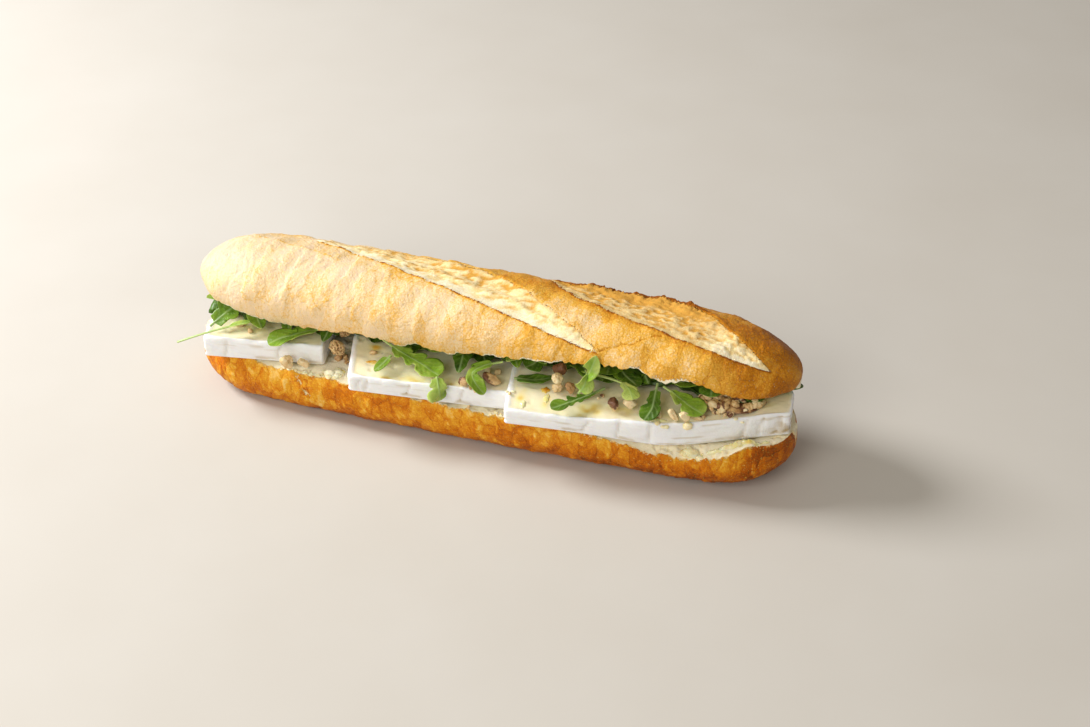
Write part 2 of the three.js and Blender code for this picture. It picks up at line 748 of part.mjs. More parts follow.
function buildSandwich() {
  const sandwich = new THREE.Group();
  const lower = breadBottom();
  const upper = breadTop();
  const slices = Object.keys(SLICES).map(brieSlice);
  sandwich.add(lower, upper, ...slices);

  const room = [roomOf(upper, -GAP), roomOf(lower, GAP)];
  for (const slice of slices) room.push(roomOf(slice, GAP));
  FRONT_LEAVES.forEach((leaf, i) => {
    const colour = [LEAF_GREEN, LEAF_DARK, LEAF_PALE][i % 3];
    const name = `arugula_leaf_${String(i + 1).padStart(2, '0')}`;
    sandwich.add(piece(name, leafSolid(leaf), colour, 0.5));
    room.push(leafSolid(leaf, GAP));
  });
  for (const nut of NUTS) {
    sandwich.add(piece(nut.name, nutSolid(nut), nut.colour, 0.6));
    room.push(nutSolid(nut, GAP));
  }
  sandwich.add(piece('chopped_nuts', choppedNuts(room), NUT_CREAM, 0.65));
  room.push(heapDome(CHOPPED.room));
  const bedLeaves = BED_LEAVES.map((leaf) => leafSolid({ steps: 6, ...leaf }));
  const bed = fused(bedCore(), bedLeaves, room);
  sandwich.add(piece('arugula_bed', bed, LEAF_DARK, 0.55));
  return sandwich;
}

// The sandwich stands with the middle of its box over the origin.
const sandwich = buildSandwich();
const box = new THREE.Box3().setFromObject(sandwich, true);
const centre = box.getCenter(new THREE.Vector3());
sandwich.position.set(-centre.x, -centre.y, -box.min.z);

export default sandwich;
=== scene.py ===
import math

import bmesh
import bpy
import numpy as np
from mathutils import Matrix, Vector
from mathutils.bvhtree import BVHTree


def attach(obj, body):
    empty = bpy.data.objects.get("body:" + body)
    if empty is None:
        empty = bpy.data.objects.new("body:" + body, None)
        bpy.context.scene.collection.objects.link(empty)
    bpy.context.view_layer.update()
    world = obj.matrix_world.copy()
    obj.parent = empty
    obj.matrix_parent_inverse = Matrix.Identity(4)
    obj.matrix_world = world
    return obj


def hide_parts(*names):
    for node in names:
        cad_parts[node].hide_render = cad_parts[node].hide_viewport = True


# Brie and honey sandwich. Shapes are worked out in millimetres in the sandwich frame of
# the part's source: X along the loaf, Y to the back, the lower half's underside at z = 0.

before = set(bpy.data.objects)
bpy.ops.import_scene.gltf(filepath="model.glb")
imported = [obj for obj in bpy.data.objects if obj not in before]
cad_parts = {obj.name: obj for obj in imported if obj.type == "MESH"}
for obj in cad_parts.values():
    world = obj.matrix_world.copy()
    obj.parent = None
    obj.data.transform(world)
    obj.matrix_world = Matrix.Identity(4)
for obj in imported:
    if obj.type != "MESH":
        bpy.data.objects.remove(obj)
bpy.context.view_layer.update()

MM = 0.001
SANDWICH_ORIGIN = np.array([-4.0917, 0.9793, 0.0])  # in the part's frame, mm

# ------------------------------------------------------------------ numbers over a surface


def lerp(a, b, t):
    """From a to b as t goes from 0 to 1."""
    return a + (b - a) * t


def smoothstep(value, low, high):
    """A smooth rise from 0 at low to 1 at high."""
    t = np.clip((value - low) / (high - low), 0, 1)
    return t * t * (3 - 2 * t)


def bell(value, middle, width):
    """A smooth bump, 1 at its middle."""
    return np.exp(-(((value - middle) / width) ** 2))


def hashed(cell, seed):
    """A repeatable number from 0 to 1 for each whole-number cell."""
    c = cell.astype(np.int64)
    n = c[..., 0] * 73856093 ^ c[..., 1] * 19349663 ^ c[..., 2] * 83492791 ^ seed * 2654435761
    n &= 0xFFFFFFFF
    for multiplier in (0x7FEB352D, 0x846CA68B):
        n ^= n >> 16
        n = (n * multiplier) & 0xFFFFFFFF
    n ^= n >> 15
    return n / 2.0**32


def noise(points, size, seed):
    """Smooth noise from -1 to 1 with grains of the given size, a number or one per axis."""
    p = points / np.asarray(size, float)
    base = np.floor(p)
    f = p - base
    f = f * f * f * (f * (f * 6 - 15) + 10)
    total = np.zeros(p.shape[:-1])
    for corner in np.ndindex(2, 2, 2):
        weight = np.ones(p.shape[:-1])
        for axis in range(3):
            weight *= f[..., axis] if corner[axis] else 1 - f[..., axis]
        total += weight * hashed(base + np.array(corner), seed)
    return total * 2 - 1


def rough_noise(points, size, seed, octaves):
    """Noise with finer noise on it, each octave half the size and half the strength of the last."""
    total = 0.0
    for octave in range(octaves):
        total = total + noise(points, np.asarray(size, float) / 2**octave, seed + octave) / 2**octave
    return total / 1.6


def flakes(points, size, seed):
    """Irregular cells: how far a point is from its cell's edge, the cell's number and a lean across it."""
    p = points / np.asarray(size, float)
    base = np.floor(p)
    nearest = np.full(p.shape[:-1], 9.0)
    second = np.full(p.shape[:-1], 9.0)
    number = np.zeros(p.shape[:-1])
    lean = np.zeros(p.shape[:-1])
    for step in np.ndindex(3, 3, 3):
        cell = base + np.array(step) - 1
        seat = np.stack([hashed(cell, seed + axis) for axis in range(3)], -1)
        offset = cell + seat - p
        distance = np.linalg.norm(offset, axis=-1)
        closer = distance < nearest
        second = np.where(closer, nearest, np.minimum(second, distance))
        number = np.where(closer, hashed(cell, seed + 7), number)
        lean = np.where(closer, offset[..., 0], lean)
        nearest = np.where(closer, distance, nearest)
    return second - nearest, number, lean


def spun(a, b, angle):
    """Two coordinates turned from the first towards the second, by an angle in radians."""
    cosine, sine = math.cos(angle), math.sin(angle)
    return a * cosine - b * sine, a * sine + b * cosine


# ------------------------------------------------------------------ meshes


def finish_piece(piece, nodes=()):
    """The piece stays with the sandwich's one body and takes the place of the given nodes."""
    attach(piece, "root")
    if nodes:
        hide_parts(*nodes)


def as_lists(faces):
    return faces.tolist() if isinstance(faces, np.ndarray) else faces


def mesh_piece(name, points, faces, material, masks=None):
    """A smooth mesh from points in millimetres, with one number per point for each mask."""
    mesh = bpy.data.meshes.new(name)
    mesh.from_pydata(((points + SANDWICH_ORIGIN) * MM).tolist(), [], as_lists(faces))
    for label, values in (masks or {}).items():
        attribute = mesh.attributes.new(label, "FLOAT", "POINT")
        attribute.data.foreach_set("value", np.ascontiguousarray(values, np.float32))
    mesh.polygons.foreach_set("use_smooth", np.ones(len(mesh.polygons), bool))
    mesh.materials.append(material)
    mesh.update()
    piece = bpy.data.objects.new(name, mesh)
    bpy.context.scene.collection.objects.link(piece)
    return piece


def shell_of_rings(rings, around):
    """Faces of a closed skin: rings of points round a body, between its first and last point."""
    faces = []
    for ring in range(rings - 1):
        for k in range(around):
            a = 1 + ring * around + k
            b = 1 + ring * around + (k + 1) % around
            faces.append((a, b, b + around, a + around))
    last = 1 + rings * around
    for k in range(around):
        faces.append((0, 1 + (k + 1) % around, 1 + k, 0))
        base = 1 + (rings - 1) * around
        faces.append((last, base + k, base + (k + 1) % around, last))
    return [face[:3] if face[3] == face[0] else face for face in faces]


def box_shell(counts):
    """The skin of a box of 0 to 1 each way, cut into counts cells along its three axes."""
    index = {}
    points = []
    faces = []

    def corner(place):
        if place not in index:
            index[place] = len(points)
            points.append([place[axis] / counts[axis] for axis in range(3)])
        return index[place]

    for axis in range(3):
        first, second = (axis + 1) % 3, (axis + 2) % 3
        for level in (0, counts[axis]):
            for i in range(counts[first]):
                for j in range(counts[second]):
                    face = []
                    for di, dj in ((0, 0), (1, 0), (1, 1), (0, 1)):
                        place = [0, 0, 0]
                        place[axis] = level
                        place[first] = i + di
                        place[second] = j + dj
                        face.append(corner(tuple(place)))
                    faces.append(face if level else face[::-1])
    return np.array(points), np.array(faces)


def ball(detail):
    """Points on a unit ball and its triangles."""
    blank = bmesh.new()
    bmesh.ops.create_icosphere(blank, subdivisions=detail, radius=1)
    points = np.array([v.co for v in blank.verts])
    faces = np.array([[v.index for v in f.verts] for f in blank.faces])
    blank.free()
    return points, faces


def joined(parts):
    """Several (points, faces, masks) as one."""
    points, faces, masks = [], [], {}
    count = 0
    for part_points, part_faces, part_masks in parts:
        points.append(part_points)
        faces.extend([[corner + count for corner in face] for face in as_lists(part_faces)])
        count += len(part_points)
        for label, values in part_masks.items():
            masks.setdefault(label, []).append(values)
    return np.concatenate(points), faces, {k: np.concatenate(v) for k, v in masks.items()}


# ------------------------------------------------------------------ shader building blocks


class Shader:
    """Adds nodes to a material or a group and links them by socket name."""

    def __init__(self, tree):
        self.tree = tree

    def add(self, kind, settings=None, **inputs):
        """A node with its settings, and its inputs by name with _ for a space."""
        node = self.tree.nodes.new("ShaderNode" + kind)
        for key, value in (settings or {}).items():
            setattr(node, key, value)
        for key, value in inputs.items():
            self.put(node.inputs[key.replace("_", " ")], value)
        return node

    def put(self, socket, value):
        """Links a socket to another, or sets its number or colour."""
        if isinstance(value, bpy.types.NodeSocket):
            self.tree.links.new(value, socket)
        else:
            socket.default_value = value

    def math(self, operation, a, b, clamp):
        node = self.tree.nodes.new("ShaderNodeMath")
        node.operation = operation
        node.use_clamp = clamp
        self.put(node.inputs[0], a)
        self.put(node.inputs[1], b)
        return node.outputs[0]

    def plus(self, a, b, clamp=False):
        return self.math("ADD", a, b, clamp)

    def minus(self, a, b, clamp=False):
        return self.math("SUBTRACT", a, b, clamp)

    def times(self, a, b, clamp=False):
        return self.math("MULTIPLY", a, b, clamp)

    def mix(self, factor, a, b):
        node = self.tree.nodes.new("ShaderNodeMix")
        node.data_type = "RGBA"
        self.put(node.inputs["Factor"], factor)
        self.put(node.inputs[6], a)
        self.put(node.inputs[7], b)
        return node.outputs[2]

    def ramp(self, value, stops):
        node = self.tree.nodes.new("ShaderNodeValToRGB")
        while len(node.color_ramp.elements) < len(stops):
            node.color_ramp.elements.new(0.5)
        for element, (place, tint) in zip(node.color_ramp.elements, stops):
            element.position = place
            element.color = tint
        self.put(node.inputs[0], value)
        return node.outputs[0]

    def mask(self, label):
        """One of the mesh's masks, by its name."""
        node = self.tree.nodes.new("ShaderNodeAttribute")
        node.attribute_name = label
        return node.outputs["Fac"]

    def place(self):
        """Places on the piece, in metres."""
        return self.tree.nodes.new("ShaderNodeTexCoord").outputs["Object"]


def colour(red, green, blue):
    return (red, green, blue, 1.0)


def new_group(name, inputs, outputs):
    """An empty node group with its named sockets: the group, its input node and its output node."""
    group = bpy.data.node_groups.new(name, "ShaderNodeTree")
    for label, kind, value in inputs:
        socket = group.interface.new_socket(label, in_out="INPUT", socket_type=kind)
        if value is not None:
            socket.default_value = value
    for label, kind in outputs:
        group.interface.new_socket(label, in_out="OUTPUT", socket_type=kind)
    return group, group.nodes.new("NodeGroupInput"), group.nodes.new("NodeGroupOutput")


def make_mottle():
    """Uneven tone, as numbers above and below zero: broad patches and fine specks."""
    group, start, end = new_group(
        "mottle",
        [
            ("Vector", "NodeSocketVector", None),
            ("Patch Scale", "NodeSocketFloat", 150.0),
            ("Speck Scale", "NodeSocketFloat", 1400.0),
        ],
        [("Patches", "NodeSocketFloat"), ("Specks", "NodeSocketFloat")],
    )
    build = Shader(group)
    place = start.outputs["Vector"]
    for scale, result, detail in (("Patch Scale", "Patches", 3.0), ("Speck Scale", "Specks", 2.0)):
        grain = build.add("TexNoise", Vector=place, Scale=start.outputs[scale], Detail=detail)
        build.put(end.inputs[result], build.minus(grain.outputs["Fac"], 0.5))
    return group


def make_skin_grain():
    """Fine relief of a dry surface, as a height: pimples with pits between them."""
    group, start, end = new_group(
        "skin_grain",
        [
            ("Vector", "NodeSocketVector", None),
            ("Grain Scale", "NodeSocketFloat", 1600.0),
            ("Pit Scale", "NodeSocketFloat", 700.0),
        ],
        [("Height", "NodeSocketFloat")],
    )
    build = Shader(group)
    place = start.outputs["Vector"]
    grain = build.add("TexNoise", Vector=place, Scale=start.outputs["Grain Scale"], Detail=2.0)
    pit_scale = start.outputs["Pit Scale"]
    pits = build.add("TexVoronoi", {"feature": "SMOOTH_F1"}, Vector=place, Scale=pit_scale)
    low = build.times(pits.outputs["Distance"], 0.7)
    build.put(end.inputs["Height"], build.plus(grain.outputs["Fac"], low))
    return group


SCALE_SWAY = (0.0045, 0.0045, 0.0045)  # how far noise bends the scales, m
SCALE_STRETCH = (1.0, 0.5, 0.5)  # twice as long round the loaf as along it


def make_skin_scales():
    """Scales of a blistered crust, longer round the loaf than along it: their height and outlines."""
    group, start, end = new_group(
        "skin_scales",
        [("Vector", "NodeSocketVector", None), ("Scale", "NodeSocketFloat", 160.0)],
        [("Height", "NodeSocketFloat"), ("Line", "NodeSocketFloat")],
    )
    build = Shader(group)
    sway = build.add("TexNoise", Vector=start.outputs["Vector"], Scale=150.0, Detail=2.0)
    bent = build.add("VectorMath", {"operation": "MULTIPLY_ADD"})
    build.put(bent.inputs[0], sway.outputs["Color"])
    bent.inputs[1].default_value = SCALE_SWAY
    build.put(bent.inputs[2], start.outputs["Vector"])
    long = build.add("VectorMath", {"operation": "MULTIPLY"})
    build.put(long.inputs[0], bent.outputs["Vector"])
    long.inputs[1].default_value = SCALE_STRETCH
    place = {"Vector": long.outputs["Vector"], "Scale": start.outputs["Scale"]}
    cells = build.add("TexVoronoi", **place)
    edges = build.add("TexVoronoi", {"feature": "DISTANCE_TO_EDGE"}, **place)
    level = build.times(cells.outputs["Color"], 1.2)
    level = build.minus(level, build.times(cells.outputs["Distance"], 0.5))
    build.put(end.inputs["Height"], level)
    line = build.minus(1.0, build.times(edges.outputs["Distance"], 18.0), clamp=True)
    build.put(end.inputs["Line"], line)
    return group


MOTTLE = make_mottle()
SKIN_GRAIN = make_skin_grain()
SKIN_SCALES = make_skin_scales()


def placed_group(build, group, **values):
    """A group used in a material, over the piece's own places, with its own values."""
    node = build.tree.nodes.new("ShaderNodeGroup")
    node.node_tree = group
    build.put(node.inputs["Vector"], build.place())
    for key, value in values.items():
        build.put(node.inputs[key.replace("_", " ")], value)
    return node


def new_material(name, **constants):
    """A material whose shader holds the given constants."""
    material = bpy.data.materials.new(name)
    material.use_nodes = True
    shader = material.node_tree.nodes["Principled BSDF"]
    for key, value in constants.items():
        shader.inputs[key.replace("_", " ")].default_value = value
    return material, Shader(material.node_tree), shader


def bump(build, shader, height, distance, strength):
    """Fine relief: what one unit of height stands for is distance, in metres."""
    node = build.add("Bump", Strength=strength, Distance=distance, Height=height)
    build.put(shader.inputs["Normal"], node.outputs["Normal"])


# ------------------------------------------------------------------ finishes

CRUMB_CREAM = colour(0.9, 0.71, 0.36)
CRUMB_WHITE = colour(0.97, 0.88, 0.65)
# The toasted end of the crumb, which pores and score hollows also take on as painted shade.
CRUMB_TOAST_AND_SHADE = colour(0.68, 0.35, 0.06)


def bread_finish(name, stops, fleck, fleck_share, scale_share):
    """Crust coloured by its baking mask, which holds some painted shade. Where the mask crumb is high, it
    is crumb coloured by its toasting mask, which also holds painted shade in pores and hollows.
    """
    material, build, shader = new_material(
        name, Subsurface_Weight=0.04, Subsurface_Scale=0.002, Specular_IOR_Level=0.14
    )
    tone = placed_group(build, MOTTLE, Patch_Scale=120.0, Speck_Scale=1300.0)
    grain = placed_group(build, SKIN_GRAIN, Grain_Scale=1700.0, Pit_Scale=900.0)
    scales = placed_group(build, SKIN_SCALES, Scale=170.0)
    blisters = placed_group(build, SKIN_SCALES, Scale=430.0)
    relief = build.plus(scales.outputs["Height"], build.times(blisters.outputs["Height"], 0.5))
    patches = build.times(tone.outputs["Patches"], 0.16)
    specks = build.times(tone.outputs["Specks"], 0.6)
    bake = build.plus(build.mask("bake"), build.plus(patches, specks))
    bake = build.plus(bake, build.times(scales.outputs["Line"], 0.06 * scale_share))
    bake = build.minus(bake, build.times(relief, 0.14 * scale_share))
    bake = build.plus(bake, 0.08 * scale_share)
    crust = build.ramp(bake, stops)
    flecks = build.times(tone.outputs["Specks"], 9.0)
    flecks = build.minus(flecks, 1.0, clamp=True)
    crust = build.mix(build.times(flecks, fleck_share), crust, fleck)

    toast = build.plus(build.mask("toast"), build.times(tone.outputs["Specks"], 0.5))
    crumb = build.ramp(toast, [(0.1, CRUMB_WHITE), (0.42, CRUMB_CREAM), (0.95, CRUMB_TOAST_AND_SHADE)])
    torn = build.plus(build.mask("crumb"), build.times(tone.outputs["Specks"], 1.6))
    torn = build.times(build.minus(torn, 0.5), 3.5)
    opened = build.plus(torn, 0.5, clamp=True)
    build.put(shader.inputs["Base Color"], build.mix(opened, crust, crumb))

    rough = build.times(opened, 0.35)
    build.put(shader.inputs["Roughness"], build.plus(rough, 0.5))
    dry = build.minus(1.0, opened, clamp=True)
    height = build.times(grain.outputs["Height"], build.plus(build.times(dry, 0.2), 0.35))
    height = build.plus(height, build.times(relief, dry))
    bump(build, shader, height, distance=0.0005, strength=1.0)
    return material


UPPER_CRUST = bread_finish(
    "pale_gold_crust",
    [
        (0.0, colour(0.84, 0.64, 0.45)),
        (0.22, colour(0.88, 0.65, 0.36)),
        (0.5, colour(0.79, 0.42, 0.05)),
        (0.75, colour(0.57, 0.205, 0.006)),
        (1.0, colour(0.3, 0.085, 0.004)),
    ],
    fleck=colour(0.9, 0.68, 0.3),
    fleck_share=0.3,
    scale_share=1.0,
)
LOWER_CRUST = bread_finish(
    "deep_gold_crust",
    [
        (0.0, colour(0.86, 0.57, 0.17)),
        (0.3, colour(0.79, 0.385, 0.022)),
        (0.55, colour(0.63, 0.185, 0.0015)),
        (0.8, colour(0.4, 0.085, 0.001)),
        (1.0, colour(0.16, 0.042, 0.0015)),
    ],
    fleck=colour(0.88, 0.5, 0.08),
    fleck_share=0.75,
    scale_share=1.6,
)


def brie_finish():
    """White rind by the mask rind with marks along it, partly painted shade at its folds, and cream paste
    under patches of honey.
    """
    material, build, shader = new_material(
        "brie_rind_and_paste",
        Subsurface_Weight=0.22,
        Subsurface_Scale=0.003,
        Subsurface_Radius=(1.0, 0.75, 0.45),
    )
    tone = placed_group(build, MOTTLE, Patch_Scale=130.0, Speck_Scale=900.0)
    grain = placed_group(build, SKIN_GRAIN, Grain_Scale=1500.0, Pit_Scale=500.0)
    softness = build.plus(build.times(tone.outputs["Patches"], 1.2), 0.5, clamp=True)
    paste = build.mix(softness, colour(0.93, 0.87, 0.67), colour(0.9, 0.8, 0.5))
    honeyed = build.ramp(
        build.mask("honey"),
        [
            (0.0, colour(0.93, 0.87, 0.66)),
            (0.45, colour(0.9, 0.76, 0.3)),
            (0.75, colour(0.8, 0.5, 0.08)),
            (1.0, colour(0.62, 0.22, 0.015)),
        ],
    )
    share = build.times(build.mask("honey"), 1.6, clamp=True)
    paste = build.mix(share, paste, honeyed)
    bloom = build.plus(build.times(tone.outputs["Patches"], 0.9), 0.5, clamp=True)
    rind = build.mix(bloom, colour(0.9, 0.92, 0.94), colour(0.84, 0.84, 0.84))
    rind = build.mix(build.mask("mark_and_shade"), rind, colour(0.5, 0.38, 0.2))
    build.put(shader.inputs["Base Color"], build.mix(build.mask("rind"), paste, rind))
    rough = build.times(build.mask("rind"), 0.5)
    build.put(shader.inputs["Roughness"], build.plus(rough, 0.27))
    wet = build.minus(1.0, build.mask("rind"))
    build.put(shader.inputs["Coat Weight"], build.times(wet, 0.5))
    height = build.times(grain.outputs["Height"], build.plus(build.mask("rind"), 0.25))
    bump(build, shader, height, distance=0.00022, strength=0.7)
    return material


def leaf_finish():
    """Arugula: green by the mask tone, with paler ribs and veins. Its lightest greens partly stand for
    light shining through the leaves, as painted light.
    """
    material, build, shader = new_material(
        "arugula_leaf", Subsurface_Weight=0.05, Subsurface_Scale=0.001, Specular_IOR_Level=0.32
    )
    tone = placed_group(build, MOTTLE, Patch_Scale=260.0, Speck_Scale=2200.0)
    patches = build.times(tone.outputs["Patches"], 0.5)
    shade = build.plus(build.mask("tone"), patches)
    # The bright end of this ramp is partly painted light, for light shining through thin leaves.
    blade = build.ramp(
        shade,
        [
            (0.0, colour(0.018, 0.05, 0.003)),
            (0.3, colour(0.075, 0.165, 0.008)),
            (0.65, colour(0.23, 0.385, 0.03)),
            (1.0, colour(0.55, 0.66, 0.17)),
        ],
    )
    blade = build.mix(build.times(build.mask("vein"), 0.3), blade, colour(0.3, 0.42, 0.12))
    blade = build.mix(build.times(build.mask("rib"), 0.75), blade, colour(0.46, 0.6, 0.26))
    build.put(shader.inputs["Base Color"], blade)
    shine = build.times(tone.outputs["Specks"], 0.3)
    build.put(shader.inputs["Roughness"], build.plus(shine, 0.36))
    relief = build.plus(build.mask("vein"), build.times(build.mask("rib"), 1.5))
    relief = build.plus(relief, build.times(tone.outputs["Patches"], 1.2))
    bump(build, shader, relief, distance=0.00018, strength=0.8)
    return material


def nut_finish():
    """Broken kernels: cream flesh, tan where the mask tan is high, brown skin by the mask skin."""
    material, build, shader = new_material("broken_nut", Subsurface_Weight=0.06, Subsurface_Scale=0.001)
    tone = placed_group(build, MOTTLE, Patch_Scale=420.0, Speck_Scale=2600.0)
    grain = placed_group(build, SKIN_GRAIN, Grain_Scale=2400.0, Pit_Scale=1200.0)
    warm = build.plus(build.mask("tan"), build.times(tone.outputs["Patches"], 0.9))
    flesh = build.ramp(
        warm,
        [
            (0.0, colour(0.86, 0.72, 0.44)),
            (0.45, colour(0.72, 0.5, 0.23)),
            (1.0, colour(0.42, 0.22, 0.08)),
        ],
    )
    brown = build.plus(build.times(tone.outputs["Specks"], 1.6), 0.5, clamp=True)
    skin = build.mix(brown, colour(0.09, 0.03, 0.012), colour(0.24, 0.1, 0.04))
    build.put(shader.inputs["Base Color"], build.mix(build.mask("skin"), flesh, skin))
    rough = build.times(tone.outputs["Specks"], 0.4)
    build.put(shader.inputs["Roughness"], build.plus(rough, 0.45))
    bump(build, shader, grain.outputs["Height"], distance=0.0002, strength=0.8)
    return material


def honey_finish():
    """Honey: pale where it is thin, amber where the mask depth is high."""
    material, build, shader = new_material(
        "amber_honey",
        Subsurface_Weight=0.35,
        Subsurface_Scale=0.003,
        Subsurface_Radius=(1.0, 0.6, 0.15),
        Coat_Weight=0.6,
        Coat_Roughness=0.05,
    )
    tone = placed_group(build, MOTTLE, Patch_Scale=300.0, Speck_Scale=1500.0)
    depth = build.plus(build.mask("depth"), build.times(tone.outputs["Patches"], 0.5))
    shade = build.ramp(
        depth,
        [
            (0.0, colour(0.93, 0.85, 0.55)),
            (0.4, colour(0.92, 0.74, 0.24)),
            (0.7, colour(0.86, 0.5, 0.06)),
            (1.0, colour(0.6, 0.2, 0.008)),
        ],
    )
    build.put(shader.inputs["Base Color"], shade)
    build.put(shader.inputs["Roughness"], build.plus(build.times(depth, 0.05), 0.1))
    return material


def crumb_finish():
    """Loose crumb and mashed brie: cream lumps, golden where their toasting mask is high."""
    material, build, shader = new_material("loose_crumbs", Subsurface_Weight=0.15, Subsurface_Scale=0.002)
    tone = placed_group(build, MOTTLE, Patch_Scale=350.0, Speck_Scale=2000.0)
    grain = placed_group(build, SKIN_GRAIN, Grain_Scale=2200.0, Pit_Scale=1300.0)
    toast = build.plus(build.mask("toast"), build.times(tone.outputs["Specks"], 1.2))
    lumps = build.ramp(
        toast,
        [(0.0, colour(0.94, 0.87, 0.64)), (0.5, colour(0.9, 0.75, 0.38)), (1.0, colour(0.68, 0.36, 0.09))],
    )
    build.put(shader.inputs["Base Color"], lumps)
    build.put(shader.inputs["Roughness"], build.plus(build.times(tone.outputs["Specks"], 0.4), 0.6))
    bump(build, shader, grain.outputs["Height"], distance=0.0002, strength=0.8)
    return material


BRIE = brie_finish()
ARUGULA = leaf_finish()
NUT = nut_finish()
HONEY = honey_finish()
CRUMBS = crumb_finish()

# ------------------------------------------------------------------ loaf

# Where the halves lie: the lower one's cut is level, and the upper one leans back on the filling.
CUT_HEIGHT = 22
LOWER_SHIFT = np.array([3.0, 0.0, 0.0])
UPPER_SHIFT = np.array([2.5, 5.0, 40.5])
UPPER_TILT = math.radians(11)
END_CROWDING = 0.72  # how strongly the sections crowd towards the loaf's ends, from 0 to 1
SCORE_DEPTH = 2.64
SCORE_LIP = 0.8  # how far a score's lip stands up

# The sections of the two halves. Widths and heights run with t, from -1 at the left end to 1 at
# the right. The ends are the lengths over which they round off, crust_arc is the crust from rim
# to rim, and a power above 2 makes a section squarer than an ellipse.
UPPER_LOAF = {
    "length": 271,
    "crust_arc": 95,
    "left_end": 36,
    "right_end": 52,
    "upper_power": 2.1,
    "lower_power": 2.0,
    "half_width": lambda t: 28.5 - t * t,
    "middle": lambda t: 0 * t,
    "widest_at": lambda t: 7.5 - 2 * t,
    "rise": lambda t: 18.2 + 1.2 * t - 0.8 * t * t,
    "drop": lambda t: 20 + 0 * t,
}

LOWER_LOAF = {
    "length": 272,
    "crust_arc": 70,
    "left_end": 36,
    "right_end": 36,
    "upper_power": 2.4,
    "lower_power": 2.3,
    "half_width": lambda t: 28.6 + 1.4 * t - 1.5 * t * t,
    "middle": lambda t: 1.8 * t * t - 1.2 * t,
    "widest_at": lambda t: 14 + 1.5 * t,
    "rise": lambda t: 22 + 9 * t,
    "drop": lambda t: 16.5 - 0.5 * t,
}

RIM_SEARCH = math.radians(68)  # the rim lies within this angle of the level
RIM_HALVINGS = 30


def loaf_point(loaf, x, angle):
    """Points of the sections at x, at angles from 0 at the front to a quarter turn at the crest."""
    t = x / (loaf["length"] / 2)
    left = np.clip(1 - (x + loaf["length"] / 2) / loaf["left_end"], 0, 1)
    right = np.clip(1 - (loaf["length"] / 2 - x) / loaf["right_end"], 0, 1)
    size = np.sqrt(1 - left**2) * np.sqrt(1 - right**2)
    above = np.sin(angle) > 0
    power = np.where(above, 2 / loaf["upper_power"], 2 / loaf["lower_power"])
    across = np.sign(np.cos(angle)) * np.abs(np.cos(angle)) ** power
    height = np.abs(np.sin(angle)) ** power
    reach = np.where(above, loaf["rise"](t), -loaf["drop"](t))
    y = loaf["middle"](t) * size - loaf["half_width"](t) * size * across
    z = loaf["widest_at"](t) + reach * size * height
    return np.stack([x + 0 * y, y, z], -1)


def rim_angle(loaf, x, cut_at, is_back):
    """The angle at which each section's crust meets the cut, found by halving."""
    low = np.full_like(x, -RIM_SEARCH)
    high = -low
    for _ in range(RIM_HALVINGS):
        middle = (low + high) / 2
        point = loaf_point(loaf, x, math.pi - middle if is_back else middle)
        above = point[..., 2] > cut_at(point[..., 0], point[..., 1])
        high = np.where(above, middle, high)
        low = np.where(above, low, middle)
    return (low + high) / 2


def half_loaf(loaf, cut_at, dress, keeps_upper, stations, crust_edges, cut_edges):
    """A half loaf's closed skin.

    dress gives the relief on the crust, the relief on the cut and the masks for both.
    """
    # The crust runs from the front rim round to the back one, and the cut from there to the front.
    station = np.arange(stations + 1) / stations
    x = loaf["length"] / 2 * lerp(station * 2 - 1, -np.cos(math.pi * station), END_CROWDING)
    inner = x[1:-1]
    front = rim_angle(loaf, inner, cut_at, False)
    back = math.pi - rim_angle(loaf, inner, cut_at, True)
    share = np.arange(crust_edges + 1) / crust_edges
    turn = 0 if keeps_upper else 2 * math.pi
    angle = lerp(front[:, None], (back - turn)[:, None], share)
    crust = loaf_point(loaf, np.repeat(inner[:, None], crust_edges + 1, 1), angle)
    way = (np.arange(1, cut_edges) / cut_edges)[None, :, None]
    cut = crust[:, -1:, :] * (1 - way) + crust[:, :1, :] * way
    cut[..., 2] = cut_at(cut[..., 0], cut[..., 1])

    # The relief stands out from the crust and from the cut, and the crust stays on its side of the cut.
    crust_rise, cut_rise, masks = dress(crust, angle, share, cut, way[0, :, 0])
    outward = np.stack([0 * angle, -np.cos(angle), np.sin(angle)], -1)
    crust = crust + outward * crust_rise[..., None]
    limit = cut_at(crust[..., 0], crust[..., 1])
    if keeps_upper:
        crust[..., 2] = np.maximum(crust[..., 2], limit)
    else:
        crust[..., 2] = np.clip(crust[..., 2], 0, limit)
    cut[..., 2] += cut_rise * (-1 if keeps_upper else 1)

    # Each section is a ring, and a tip closes each end.
    rings = np.concatenate([crust, cut], 1)
    around = rings.shape[1]
    tips = [np.array([[x[i], 0, loaf["widest_at"](np.float64(side))]]) for i, side in ((0, -1), (-1, 1))]
    points = np.concatenate([tips[0], rings.reshape(-1, 3), tips[1]])
    spread = {}
    for label, (on_crust, on_cut) in masks.items():
        values = np.concatenate([on_crust, on_cut], 1)
        spread[label] = np.concatenate([[values[0].mean()], values.ravel(), [values[-1].mean()]])
    return points, shell_of_rings(len(inner), around), spread


